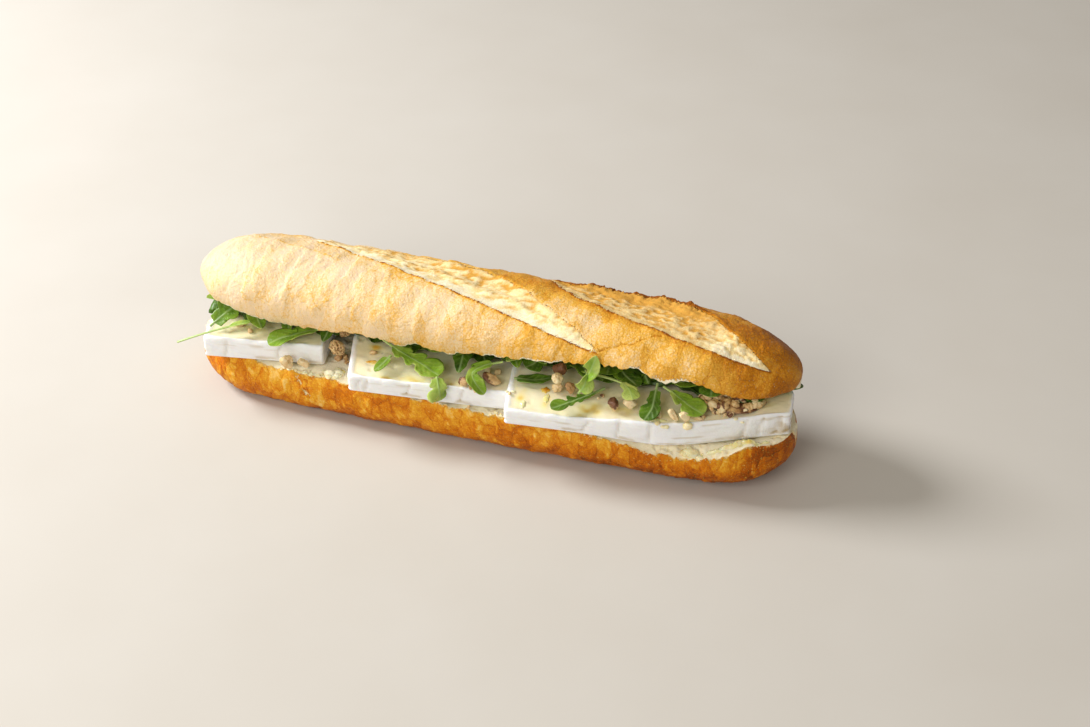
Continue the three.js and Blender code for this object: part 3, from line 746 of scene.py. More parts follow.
# The three scores, from left to right. start, end and at are places along the loaf. lip is where
# the near lip lies at that place, in degrees from the crest, slope how it runs from there, hook
# how far it turns in at the start, and open how far round the crust it gapes, in degrees. The
# rest are shares: how deep, torn and flushed it is, how rough its crumb, whether a ridge runs
# along it, how far its lip stands up, how toasted it is and whether its far lip is singed.
SCORES = [
    dict(start=-128, end=-66, at=-108, lip=4, slope=-0.48, hook=0, open=44, deep=0.45, torn=0.1,
         flushed=0.8, rough=1, ridged=0, raised=0.3, toasted=0.5, singed=0),
    dict(start=-90, end=57, at=-64, lip=1, slope=-0.65, hook=0, open=50, deep=1, torn=1,
         flushed=0, rough=0.75, ridged=1, raised=1, toasted=0.13, singed=0),
    dict(start=20, end=126, at=62, lip=-27, slope=-0.55, hook=30, open=58.5, deep=1, torn=1,
         flushed=0, rough=1, ridged=0, raised=1, toasted=0.5, singed=1),
]
FULL_OPENING = 46  # degrees at which a score is as deep as it gets
HOOK_LENGTH = 12  # mm along the loaf over which the hook fades
MM_PER_DEGREE = 0.42  # along the crust's round back


def crust_waves(x, angle, broad, narrow):
    """The loaf's uneven roundness: two waves along it that lean as they go round."""
    return broad * np.sin(0.19 * x + 2.1 * np.sin(3 * angle)) + narrow * np.sin(0.41 * x - 4.3 * angle)


def swayed(points, reach, size, seed):
    """Points moved about by smooth noise."""
    return points + reach * np.stack([noise(points, size, seed + axis) for axis in range(3)], -1)


def score_places(crust, angle):
    """For each score, how far a point lies behind its near lip and before its far one, in mm,
    and how open the score is there, from 0 to 1."""
    x = crust[..., 0]
    degrees = np.degrees(angle) - 90
    near_wobble = 0.45 * rough_noise(crust, 4.0, 31, 3)
    far_wobble = 1.5 * rough_noise(crust, 6.0, 35, 3)
    places = []
    for score in SCORES:
        along = np.clip((x - score["start"]) / (score["end"] - score["start"]), 0, 1)
        width = score["open"] * np.sin(math.pi * along) ** 0.8
        hook = score["hook"] * np.exp(-(x - score["start"]) / HOOK_LENGTH)
        near = score["lip"] + score["slope"] * (x - score["at"]) + hook
        behind = (degrees - near) * MM_PER_DEGREE + near_wobble
        before = (near + width - degrees) * MM_PER_DEGREE + far_wobble
        inside = (x > score["start"]) & (x < score["end"])
        places.append((behind, before, np.where(inside, np.clip(width / FULL_OPENING, 0, 1), 0)))
    return places


def cut_scores(rise, crust, angle, fine):
    """Opens the scores in the crust's relief. Returns it with how far each point is torn open, toasted
    (with painted shade in the hollows), part of a raised near lip, flushed beside it and singed."""
    x = crust[..., 0]
    strands = rough_noise(crust + 0.35 * crust[..., ::-1] * (1, 0, 0), (5.5, 1.8, 1.8), 41, 3)
    lumps = rough_noise(crust, 2.3, 46, 2)
    rough = 0.45 * strands + 0.7 * lumps + 0.22 * fine
    crumb, toast, ear, blush, singe = np.zeros((5, *x.shape))
    for score, (behind, before, strength) in zip(SCORES, score_places(crust, angle)):
        opened = smoothstep(strength, 0.04, 0.22)
        strength = strength * score["deep"]
        inside = smoothstep(behind, -0.15, 0.35) * smoothstep(before, -0.3, 1.6 + 1.2 * lumps) * opened
        blush = np.maximum(blush, score["flushed"] * inside)
        inside = inside * score["torn"]
        crumb = np.maximum(crumb, inside)

        # The hollow deepens behind the near lip, and its crumb grows rougher away from it.
        hollow = (1 - np.exp(-np.maximum(behind, 0) / 5.5)) * smoothstep(before, -1, 9) ** 0.7
        rise = rise - SCORE_DEPTH * strength * hollow
        tear = 0.3 + 0.7 * smoothstep(behind, 0.5, 6)
        rise = rise + inside * rough * tear * score["rough"]
        across = np.clip(behind / np.maximum(behind + before, 0.1), 0, 1)
        ridge = bell(across, 0.45 + 0.08 * noise(crust, 14.0, 55), 0.1) * score["ridged"] * strength
        rise = rise + inside * 0.8 * ridge

        # The near lip stands up as an ear, the skin before it is flushed and the far lip swells.
        edge = bell(np.minimum(behind - 0.2, 0), 0, 0.75) * (behind < 0.5) * opened
        ear = np.maximum(ear, edge * score["raised"])
        blush = np.maximum(blush, bell(np.minimum(behind, 0), 0, 4.5) * (behind < 0.4) * strength)
        off_far_lip = np.abs(before + 0.6)
        far = np.exp(-(np.minimum(off_far_lip - 1.2, 0) + off_far_lip) / 3.2) * strength
        rise = rise + 0.5 * SCORE_LIP * far * (behind > 1)
        burnt = np.exp(-np.abs(before + 0.3) / 2.6) * strength * (behind > 1) * (1 - smoothstep(x, 84, 98))
        burnt = burnt * score["singed"]
        rise = rise + 1.5 * burnt * (rough + 0.7 * fine + 0.2)
        singe = np.maximum(singe, burnt)

        # The crumb browns towards the far lip, and its hollows are painted golden, partly as toasting and
        # partly as painted warm shade. The singed score pales at its right end.
        # The term on low places paints the hollows golden: partly toasting, partly painted warm shade.
        browned_and_shaded = 0.02 + 0.42 * across**1.6 + 0.95 * np.clip(0.15 - rough, 0, 1) * tear + 0.15 * ridge
        browned_and_shaded = browned_and_shaded + score["toasted"]
        browned_and_shaded = browned_and_shaded - 0.4 * score["singed"] * smoothstep(x, 88, 108)
        far_side = smoothstep(across, 0.6, 0.95) * (1 - smoothstep(x, 84, 96))
        browned_and_shaded = browned_and_shaded + 0.55 * score["singed"] * far_side
        toast = np.where(inside > 0.02, browned_and_shaded, toast)
    rise = rise + SCORE_LIP * (ear * (0.2 + 0.9 * fine) + 0.3 * blush)
    return rise, crumb, toast, ear, blush, singe


def upper_dress(crust, angle, share, cut, way):
    """The upper half: leaning scales, open scores, two cracks, a ragged front rim and a soft cut face."""
    x = crust[..., 0]
    degrees = np.degrees(angle) - 90
    fine = rough_noise(crust, 1.1, 51, 2)
    rise = crust_waves(x, angle, 0.3, 0.22)
    rise, crumb, toast, ear, blush, singe = cut_scores(rise, crust, angle, fine)
    dry = 1 - np.clip(crumb * 1.5, 0, 1)

    # Scales on the baked skin: broad on the left, narrow and faint to the right, each one leaning.
    bent = swayed(crust, 1.3, 5.0, 61)
    edge, number, lean = flakes(bent, (6.0, 12, 12), 71)
    small_edge, small_number, small_lean = flakes(bent, (3.4, 5, 5), 81)
    left = 1 - smoothstep(x, -80, 70)
    scale = 0.34 * lean * smoothstep(edge, 0, 0.04) + 0.42 * (number - 0.5)
    scale = scale * (0.35 + 0.65 * left)
    scale = scale + 0.16 * small_lean * smoothstep(small_edge, 0, 0.08) + 0.08 * (small_number - 0.5)
    rise = rise + dry * (scale + 0.07 * fine - 0.05)
    crease = dry * (1 - smoothstep(edge, 0.0, 0.07)) * smoothstep(number, 0.2, 0.6) * (0.35 + 0.4 * left)
    crease = np.maximum(crease, 0.25 * dry * (1 - smoothstep(small_edge, 0.0, 0.1)))

    # A hairline crack that runs back from the end of the middle score, and one in its front flank.
    crack_line = -72 + 1.3 * (x - 55) + 4 * noise(crust, 4.0, 91)
    crack = 0.8 * bell(degrees, crack_line, 0.9) * (x > 55) * (x < 79)
    crack_x = 38.6 + 0.12 * (degrees + 78) + 0.5 * noise(crust, 3.0, 92)
    crack = np.maximum(crack, 0.7 * bell(x, crack_x, 0.4) * (degrees < -63))
    rise = rise - 0.45 * crack

    # Ragged front rim.
    rim = np.minimum(share, 1 - share)[None, :] * UPPER_LOAF["crust_arc"]
    rise = rise + 0.35 * noise(crust * (1, 0.2, 0.2), 2.4, 95) * bell(rim, 0, 2.5)

    # Baked darker to the right, along the crest, at the lips, in creases and at the back. The right end is
    # darker partly from baking and partly as painted shade.
    right = smoothstep(x, 0, 136)
    bake = 0.05 + 0.09 * smoothstep(x, -136, -60) + 0.14 * smoothstep(x, -60, 40) + 0.18 * right
    crest = smoothstep(degrees, -45, 15) * (smoothstep(x, -80, 10) - 0.4 * smoothstep(x, 75, 105))
    # The last term darkens the right end, partly as painted shade on the side turned away from the light.
    bake = bake + 0.34 * crest + 0.36 * smoothstep(x, 98, 134)
    bake = bake + 0.85 * np.clip(singe, 0, 1) * (0.7 + 1.4 * fine)
    bake = bake + 0.13 * noise(crust, (22, 14, 14), 97) * (0.4 + right)
    bake = bake + 0.16 * crease + 0.8 * ear * (0.6 + 1.7 * fine) + 0.16 * blush
    bake = bake + 0.07 * (number - 0.5) + 0.105 * lean * left + 0.3 * crack + 0.1 * np.exp(-rim / 3)
    low_front = smoothstep(-degrees, 40, 80) * (0.6 - smoothstep(x, 0, 90))
    bake = bake + 0.16 * smoothstep(degrees, 15, 60) + 0.1 * low_front

    # The cut face inside: soft crumb with pores, drawn in from the rim. Its pores are painted darker as
    # shade.
    pores = rough_noise(cut, 3.5, 101, 3)
    inset = np.minimum(way, 1 - way)[None, :]
    cut_rise = -1.2 * smoothstep(pores, 0.15, 0.6) + 0.25 * noise(cut, 1.5, 103)
    cut_rise = cut_rise * smoothstep(inset, 0, 0.04) - 0.5 * smoothstep(inset, 0, 0.02)
    bare_rim = np.exp(-rim / 0.9) * smoothstep(noise(crust * (1, 0, 0), 9.0, 99), 0.05, 0.3)
    bare_rim = np.maximum(bare_rim, bell(rim, 0, 2.2) * bell(x, 86, 8) * (crust[..., 1] < 0))
    masks = {
        "bake": (bake, 0.2 + 0 * pores),
        "crumb": (np.clip(crumb + bare_rim, 0, 1), smoothstep(inset + 0 * pores, -0.01, 0.012)),
        # On the cut face this darkens with the pores: painted shade in them.
        "toast": (np.clip(toast, 0, 1.2), 0.2 + 0.35 * pores),
    }
    return rise, cut_rise, masks


def lower_dress(crust, angle, share, cut, way):
    """The lower half: small scales, pale blisters, a crack at the left and a porous cut face."""
    x = crust[..., 0]
    fine = rough_noise(crust, 1.3, 151, 2)
    bent = swayed(crust, 1.2, 4.0, 161)
    edge, number, lean = flakes(bent, (5.0, 7, 7), 171)
    small_edge, small_number, small_lean = flakes(bent, (2.2, 2.8, 2.8), 181)
    rise = crust_waves(x, angle, 0.18, 0.13)
    rise = rise + 0.38 * lean * smoothstep(edge, 0, 0.06) + 0.3 * (number - 0.5)
    rise = rise + 0.2 * small_lean * smoothstep(small_edge, 0, 0.1) + 0.14 * (small_number - 0.5)
    rise = rise + 0.08 * fine - 0.08
    crease = 1 - smoothstep(edge, 0.0, 0.08)
    rim = np.minimum(share, 1 - share)[None, :] * LOWER_LOAF["crust_arc"]
    low = 1 - smoothstep(crust[..., 2], 1, 12)
    pale = smoothstep(small_number, 0.78, 0.95) * 0.2 + smoothstep(lean, 0.15, 0.45) * 0.12
    pale = pale + 0.16 * np.exp(-rim / 3.5)
    bake = 0.41 + 0.1 * smoothstep(x, -90, -30) + 0.16 * smoothstep(x, -20, 110)
    bake = bake + 0.12 * crease + 0.2 * low - pale
    bake = bake + 0.15 * noise(crust, (18, 9, 9), 191) + 0.1 * smoothstep(x, 110, 136)

    # A crack in the crust under the left walnut shows the crumb.
    depth_down = (18.5 - crust[..., 2]) / 8
    crack_x = -79.5 + 4.5 * depth_down + 1.6 * noise(crust, 2.5, 195) + 0.9 * noise(crust, 1.1, 197)
    cracked = (depth_down > -0.3) & (depth_down < 1) & (crust[..., 1] < 0)
    crack = 0.8 * bell(x, crack_x, 0.75 - 0.4 * depth_down) * cracked
    rise = rise - 0.8 * crack
    rise = rise + 0.3 * noise(crust * (1, 0.2, 0.2), 2.2, 196) * bell(rim, 0, 2.0)

    pores = rough_noise(cut, 3.6, 201, 3)
    small_pores = rough_noise(cut, 1.4, 205, 2)
    inset = np.minimum(way, 1 - way)[None, :]
    cut_rise = -1.2 * smoothstep(pores, 0.2, 0.7) - 0.35 * smoothstep(small_pores, 0.2, 0.8)
    cut_rise = cut_rise * smoothstep(inset, 0, 0.03) - 0.25 * smoothstep(inset, 0, 0.02)
    bare = 0.95 * crack + np.exp(-rim / 0.7) * (0.6 + 0.8 * fine)
    masks = {
        "bake": (bake, 0.1 + 0 * pores),
        "crumb": (np.clip(bare, 0, 1), 1 + 0 * pores),
        # On the cut face this darkens with the pores and small pores: painted shade in them.
        "toast": (0.42 + 0.4 * fine, 0.04 + 0.2 * pores + 0.3 * small_pores),
    }
    return rise, cut_rise, masks


# The upper half's front rim: places along the loaf and its height over the plane of the cut.
TORN_RIM = [
    (-125, -1), (-118, 1.8), (-110, 0.4), (-100, -2), (-90, -3.4), (-84, -3), (-77, -2),
    (-68, -2.4), (-58, -0.4), (-47, 0.2), (-40, -1), (-35, -2.6), (-30, -1.8), (-25, 0.5),
    (-18, -0.7), (-8, -1.2), (0, 1), (8, 2), (20, 3.4), (33, 3.7), (42, 5.6), (55, 7.4),
    (66, 7.8), (71, 8.6), (77, 6.4), (84, 4.2), (90, 6), (96, 6.5), (101, 4.6), (108, 1.6),
    (116, -0.1), (130, -1.2),
]


def upper_cut(x, y):
    """Height of the upper half's cut face over its plane: level inside, torn at the rims."""
    rim = np.interp(x, *zip(*TORN_RIM))
    jagged = 0.35 * np.sin(0.83 * x) + 0.25 * np.sin(1.9 * x + 1)
    place = np.stack([x, 0 * x, 0 * x + 3.3], -1)
    jagged = jagged + 0.75 * rough_noise(place, 2.6, 211, 2) + 0.5 * noise(place, 1.5, 213)
    return rim * smoothstep(-y, 10, 22) + jagged * smoothstep(np.abs(y), 16, 26)


def lower_cut(x, y):
    """Height of the lower half's cut face: a dip and a raised end in its front rim."""
    dip = 3.6 * bell(x, 90, 24) * smoothstep(-y, 20, 30)
    uneven = 0.3 * np.sin(0.37 * x + 0.2 * y) * smoothstep(np.abs(y), 10, 24)
    place = np.stack([x, 0.3 * y, 0 * x + 1.7], -1)
    jagged = 0.5 * rough_noise(place, 3.4, 221, 2) + 0.7 * noise(place, 1.7, 223)
    uneven = uneven + jagged * smoothstep(np.abs(y), 14, 27)
    right_rim = 2.4 * bell(x, 121, 13) * smoothstep(-y, 13, 20)
    return CUT_HEIGHT - dip + uneven + 2 * smoothstep(x, 104, 132) + right_rim


def bread_top():
    """The upper half, tilted back over the filling."""
    points, faces, masks = half_loaf(
        UPPER_LOAF, upper_cut, upper_dress, keeps_upper=True, stations=400, crust_edges=190, cut_edges=50
    )
    tilted = np.stack([points[:, 0], *spun(points[:, 1], points[:, 2], -UPPER_TILT)], -1)
    piece = mesh_piece("upper_half_of_loaf", tilted + UPPER_SHIFT, faces, UPPER_CRUST, masks)
    finish_piece(piece, ["bread_top"])


def bread_bottom():
    """The lower half. Returns its mesh, for loose bits to fall on."""
    points, faces, masks = half_loaf(
        LOWER_LOAF, lower_cut, lower_dress, keeps_upper=False, stations=380, crust_edges=130, cut_edges=90
    )
    points = points + LOWER_SHIFT
    piece = mesh_piece("lower_half_of_loaf", points, faces, LOWER_CRUST, masks)
    finish_piece(piece, ["bread_bottom"])
    return points, faces


def ceiling_at(y):
    """Height of the upper half's cut face."""
    return UPPER_SHIFT[2] - math.tan(UPPER_TILT) * (y - UPPER_SHIFT[1])


# ------------------------------------------------------------------ brie

BRIE_DEPTH = 44
BRIE_ROUND = 1.5  # radius of the slices' edges
BRIE_CELL = 0.8  # along a slice, mm
BRIE_CELLS = [56, 16]  # across and up
SWEEP, SWEEP_EASE, END_TAPER, TAPER_FROM = 0.33, 10, 15, 0.8

# What a slice is unless its own line says more: flat, straight, with square ends.
PLAIN_SLICE = dict(z=22.7, lift=0, tail=0, askew=0, sag=0, left_reach=0, right_reach=0, torn=0,
                   bend_from=200)

# Each slice's near left corner, turn and size, and the folds up its rind. lift and tail raise
# its left and right end, askew slants the left end, sag lets the front corner hang, left_reach
# and right_reach stretch its ends, torn says whether the right end is torn and bend_from is
# how far along it starts to sweep back.
SLICES = {
    "brie_left": PLAIN_SLICE | dict(x=-121, y=-26, yaw=9.7, length=54.5, thickness=10.2, folds=[10, 34]),
    "brie_middle": PLAIN_SLICE | dict(x=-49.6, y=-33.2, yaw=7.6, length=69.2, thickness=9.4,
                                      folds=[5, 8, 26, 50], lift=1.2, askew=7, sag=0.9, right_reach=1.5),
    "brie_right": PLAIN_SLICE | dict(x=22.9, y=-36.2, yaw=6.5, length=117, thickness=11.2,
                                     folds=[33, 46.8, 60, 98, 104, 112], lift=1, tail=2.3, askew=3,
                                     sag=2.6, left_reach=1.3, torn=1, bend_from=62),
}

# Honey on the paste: place, reach along and across, and strength.
HONEY_SPOTS = [
    (-45.5, -10, 4, 5, 0.6), (-41.5, -21.5, 2.4, 1.2, 0.85), (-33, -30, 5, 2.6, 0.6),
    (-22, -27, 8, 3.5, 0.5), (-6, -25, 10, 5, 0.45), (35.3, -20.6, 1.8, 2.0, 0.95),
    (37.5, -26.5, 2.2, 4.5, 0.6), (26.5, -27, 2.4, 5, 0.6), (57, -25.5, 7, 4, 0.6), (68, -24, 9, 5, 0.45),
    (84, -22, 12, 5, 0.35), (123, -4, 8, 5, 0.4), (54, -30, 3, 2, 0.45),
    (-100, -12, 14, 7, 0.4), (48, 2, 30, 10, 0.4), (100, 6, 20, 10, 0.4),
]


def bent_slice(slice_, unit, flat, block):
    """A slice's rounded block, swept back past its bend, with a soft front corner and uneven ends."""
    u, across, up = unit.T
    x, y, z = block.T
    past = np.maximum(0, x - slice_["bend_from"])
    taper = END_TAPER * np.maximum(0, u - TAPER_FROM) / (1 - TAPER_FROM)
    y = y + SWEEP * past**2 / (past + SWEEP_EASE) * np.maximum(0, 1 - y / BRIE_DEPTH) ** 0.7
    x = x - (past > 0) * taper * smoothstep(across, 0.4, 1)
    corner = (1 - smoothstep(x, 24, 60)) * (1 - smoothstep(y, 2, 14))
    z = z + slice_["sag"] * corner * lerp(0.5, -1, smoothstep(up, 0.1, 0.9))
    x = x - slice_["askew"] * across * (1 - u) ** 2
    x = x - slice_["left_reach"] * (1 - smoothstep(flat[:, 0], 0, 7))
    x = x + slice_["right_reach"] * smoothstep(flat[:, 0] - slice_["length"], -7, 0)
    z = z + slice_["lift"] * (1 - u) ** 2 + slice_["tail"] * smoothstep(u, 0.6, 1)
    return np.stack([x, y, z], -1)


def rind_folds(slice_, flat):
    """The folds up a slice's rind, and how far the rind bulges between them."""
    fold = np.zeros(len(flat))
    bulge = np.zeros(len(flat))
    seams = [0] + slice_["folds"] + [slice_["length"]]
    for number, (at, after) in enumerate(zip(seams, seams[1:])):
        line = at + 0.22 * (flat[:, 2] - 4) + 0.9 * noise(flat, 5.0, 311)
        if number:
            fold = np.maximum(fold, bell(flat[:, 0], line, 0.55))
        way = np.clip((flat[:, 0] - at) / (after - at), 0, 1)
        bow = np.sin(math.pi * way) ** 0.5 * 0.5 + 0.5 * math.sin(5.1 * number + at) * (way - 0.5)
        bulge = np.where((flat[:, 0] >= at) & (flat[:, 0] <= after), bow, bulge)
    return fold, bulge


def rind_marks(slice_, flat, fold, ribs):
    """Brown marks on the rind: broken lines along it, stains low down, the folds and the torn end. The
    marks at the folds are partly painted shade in the creases.
    """
    lined = smoothstep(rough_noise(flat, (12, 12, 0.7), 391, 2), 0.3, 0.62) * 0.5
    lined = lined * smoothstep(noise(flat, 14, 393), -0.2, 0.4)
    stain = smoothstep(rough_noise(flat, (7, 7, 2), 395, 2), 0.05, 0.4)
    low_mark = bell(flat[:, 2], 1.4, 1.2) * stain * 0.7
    end_mark = smoothstep(noise(flat, 3.0, 397), 0.0, 0.4) * 0.6 * slice_["torn"]
    end_mark = end_mark * smoothstep(flat[:, 0] - slice_["length"], -9, -1)
    # The fold term darkens the creases of the folds: partly painted shade.
    return lined + low_mark + end_mark + 0.3 * fold - 0.5 * np.minimum(ribs, 0)


def honey_over(places):
    """How much honey lies at each place on the brie."""
    honey = np.zeros(len(places))
    uneven = 1 + 0.5 * noise(places, 2.5, 381)
    for x, y, reach_x, reach_y, strength in HONEY_SPOTS:
        away = ((places[:, 0] - x) / reach_x) ** 2 + ((places[:, 1] - y) / reach_y) ** 2
        honey = np.maximum(honey, strength * np.exp(-away) * uneven)
    return np.clip(honey, 0, 1)


def brie_slice(name):
    """A slice of brie, whose rind covers all but its top. Returns its mesh, for loose bits to fall on."""
    slice_ = SLICES[name]
    size = np.array([slice_["length"], BRIE_DEPTH, slice_["thickness"]], float)
    unit, faces = box_shell([int(size[0] / BRIE_CELL), *BRIE_CELLS])
    flat = unit * size
    core = np.clip(flat, BRIE_ROUND, size - BRIE_ROUND)
    normal = (flat - core) / np.linalg.norm(flat - core, axis=1, keepdims=True)
    shape = bent_slice(slice_, unit, flat, core + normal * BRIE_ROUND)

    # On the top, the rind is only a narrow turned edge.
    inward = np.minimum.reduce([flat[:, 0], size[0] - flat[:, 0], flat[:, 1], size[1] - flat[:, 1]])
    edge_width = 1.3 + 1.2 * bell(flat[:, 0], 0, 6) + 0.4 * noise(flat, 4.0, 301)
    turned_edge = 1 - smoothstep(inward, edge_width - 0.5, edge_width + 0.5)
    rind = np.where(normal[:, 2] > 0.93, turned_edge, 1.0)

    # Relief of the sides, pushed outwards.
    side = np.clip(1 - np.abs(normal[:, 2]) * 1.4, 0, 1)
    fold, bulge = rind_folds(slice_, flat)
    creases = rough_noise(flat, (9, 9, 1.1), 321, 2)
    wrinkle = rough_noise(flat, (3.5, 3.5, 1.6), 331, 3)
    broken = smoothstep(noise(flat, (6, 6, 2.2), 345), 0.1, 0.6) * (1 - smoothstep(unit[:, 2], 0.15, 0.55))
    torn = smoothstep(flat[:, 0] - size[0], -15, -5) * slice_["torn"]
    ribs = torn * noise(flat * (1, 1, 0.15), 1.6, 347)
    relief = 0.22 * wrinkle + 0.2 * creases - 0.8 * fold + bulge - 0.4 - 0.45 * broken + 0.55 * ribs
    shape = shape + normal * (side * relief)[:, None]

    # Relief of the top: soft lumps and holes in the paste, and a wavy crest of rind round it.
    lumps = 0.3 * noise(flat, 7.0, 351) + 0.14 * rough_noise(flat, 2.2, 361, 2)
    lumps = lumps - 0.55 * smoothstep(rough_noise(flat, 3.2, 371, 2), 0.35, 0.75)
    crest = 0.45 * noise(flat, (5, 5, 50), 375) + 0.25
    top_relief = lumps * (1 - rind) + crest * rind + 0.12 * wrinkle
    shape[:, 2] += np.where(normal[:, 2] > 0.5, top_relief, 0)

    x, y = spun(shape[:, 0], shape[:, 1], math.radians(slice_["yaw"]))
    placed = np.stack([slice_["x"] + x, slice_["y"] + y, slice_["z"] + shape[:, 2]], -1)
    mark_and_shade = side * rind_marks(slice_, flat, fold, ribs)
    masks = {"rind": rind, "honey": honey_over(placed) * (normal[:, 2] > 0.3), "mark_and_shade": np.clip(mark_and_shade, 0, 1)}
    finish_piece(mesh_piece(name + "_slice", placed, faces, BRIE, masks), [name])
    return placed, faces


def brie_top_at(x):
    """Height of the highest slice near x. A slice counts a little past its ends, as it lies turned."""
    top = 0 * x
    for slice_ in SLICES.values():
        near = (x > slice_["x"] - 19) & (x < slice_["x"] + slice_["length"] + 4)
        lifted = slice_["z"] + slice_["thickness"] + max(slice_["lift"], slice_["tail"]) + 0.3
        top = np.maximum(top, near * lifted)
    return top


def brie_back_at(x):
    """How far back the slices near x reach."""
    back = 0 * x - BRIE_DEPTH
    for slice_ in SLICES.values():
        near = (x > slice_["x"] - 21) & (x < slice_["x"] + slice_["length"] + 6)
        reach = slice_["y"] + BRIE_DEPTH + math.sin(math.radians(slice_["yaw"])) * (x + 6 - slice_["x"])
        back = np.where(near, np.maximum(back, reach), back)
    return back


# ------------------------------------------------------------------ arugula

CURVE_STEPS = 24  # between two given points
LEAF_CELLS = [76, 14, 1]  # along, across and through
GROOVE_REACH = 0.6  # each side of the midrib
RIB_REACH = 0.36
VEIN_SPACING = 3.1
BED_CELLS = [160, 40, 6]


def smooth_path(points, count):
    """A smooth curve through given points as evenly spaced places, with its directions and length."""
    p = np.array(points, float)
    ends = np.concatenate([[2 * p[0] - p[1]], p, [2 * p[-1] - p[-2]]])
    fine = []
    for k in range(1, len(ends) - 2):
        p0, p1, p2, p3 = ends[k - 1:k + 3]
        t = np.linspace(0, 1, CURVE_STEPS, endpoint=False)[:, None]
        fine.append(0.5 * (2 * p1 + (p2 - p0) * t + (2 * p0 - 5 * p1 + 4 * p2 - p3) * t**2
                           + (3 * p1 - p0 - 3 * p2 + p3) * t**3))
    fine = np.concatenate(fine + [p[-1:]])
    steps = np.linalg.norm(np.diff(fine, axis=0), axis=1)
    travelled = np.concatenate([[0], np.cumsum(steps)])
    even = np.linspace(0, travelled[-1], count)
    places = np.stack([np.interp(even, travelled, fine[:, axis]) for axis in range(3)], -1)
    directions = np.gradient(places, axis=0)
    directions /= np.linalg.norm(directions, axis=1, keepdims=True)
    return places, directions, travelled[-1]


def turned(vectors, axes, angle):
    """Vectors turned about unit axes by an angle in radians."""
    along = np.sum(vectors * axes, -1, keepdims=True)
    return (vectors * math.cos(angle) + np.cross(axes, vectors) * math.sin(angle)
            + axes * along * (1 - math.cos(angle)))


def blade_outline(t, side, lobes, waist, seed):
    """Share of the half width at t along a blade, and how much of it is a side lobe."""
    if not lobes:
        return np.sin(math.pi * np.clip(t, 0, 1) ** 0.8) ** 0.65, 0 * t
    reach = (0.27, 0.22, 0.18)[lobes - 1]
    span = 1 - 2 * reach
    end_lobe = np.sqrt(np.clip(1 - ((t - 1 + reach) / reach) ** 2, 0, 1))
    outline = np.maximum(end_lobe, waist * smoothstep(t, 0, 0.1) * (t < 1 - reach))
    side_lobe = 0 * t
    for k in range(lobes):
        middle = span * (k + 0.62) / lobes + 0.03 * math.sin(seed + 2 * k) + 0.03 * np.sign(side)
        round_lobe = np.sqrt(np.clip(1 - ((t - middle) * lobes / (0.34 * span)) ** 2, 0, 1))
        longest = 0.68 + 0.22 * k / lobes + 0.1 * math.sin(3 * seed + k)
        side_lobe = np.maximum(side_lobe, round_lobe * longest)
    return np.maximum(outline, side_lobe), side_lobe * (side_lobe > outline)


def leaf(path, width, seed, lobes=0, roll=0, cup=1, tone=0.45, stalk=0.16, waist=0.22):
    """An arugula leaf: a stalk that widens into a blade with side lobes and a rounded end."""
    places, directions, length = smooth_path(path, LEAF_CELLS[0] + 1)
    across = np.stack([-directions[:, 1], directions[:, 0], 0 * directions[:, 0]], -1)
    across /= np.linalg.norm(across, axis=1, keepdims=True)
    across = turned(across, directions, math.radians(roll))
    normal = np.cross(directions, across)
    unit, faces = box_shell(LEAF_CELLS)
    row = np.rint(unit[:, 0] * LEAF_CELLS[0]).astype(int)
    u = unit[:, 0]
    side = unit[:, 1] * 2 - 1
    face = np.sign(unit[:, 2] - 0.5)
    outline, side_lobe = blade_outline((u - stalk) / (1 - stalk), side, lobes, waist, seed)
    outline = outline * smoothstep(u, stalk - 0.02, stalk + 0.05)
    edge_place = np.stack([u * length, 4 * np.sign(side) + seed, 0 * u], -1)
    uneven = 1 + 0.1 * noise(edge_place, 2.0, seed)
    half_width = 0.5 * (1 - 0.35 * u) + (width * 1.3 - 0.2) * outline * uneven
    ahead = 0.16 * length * side_lobe * np.abs(side) ** 1.5 / max(lobes, 1)
    blade = np.clip(outline, 0, 1)
    ripple = 0.32 * np.sin(u * length * 0.62 + seed + 2 * side) * side**2
    lift = cup * blade * side**2 + ripple * blade
    lift = lift + 0.1 * width * noise(edge_place * (1, 0.3, 1) + side[:, None], 4.0, seed + 3) * blade
    groove = bell(side * half_width, 0, GROOVE_REACH)
    lift = lift - 0.3 * groove * blade
    thick = 0.15 + 0.28 * groove * (1 - 0.7 * u)
    points = (places[row] + directions[row] * ahead[:, None] + across[row] * (side * half_width)[:, None]
              + normal[row] * (lift + face * thick)[:, None])
    rib = bell(side * half_width, 0, RIB_REACH) * (1 - 0.45 * u)
    rib = np.maximum(rib, 0.8 * (1 - smoothstep(u, stalk * 0.8, stalk + 0.08)))
    ladder = (u * length / VEIN_SPACING - np.abs(side) * half_width * 0.4) % 1
    vein = bell(ladder, 0.5, 0.11) * smoothstep(np.abs(side), 0.08, 0.25)
    vein = vein * (1 - smoothstep(np.abs(side), 0.75, 1)) * blade
    patchy = 0.14 * noise(edge_place, 5.0, seed + 7)
    masks = {"rib": rib, "vein": vein, "tone": tone + 0.14 * np.abs(side) - 0.12 * face + patchy}
    return points, faces, masks


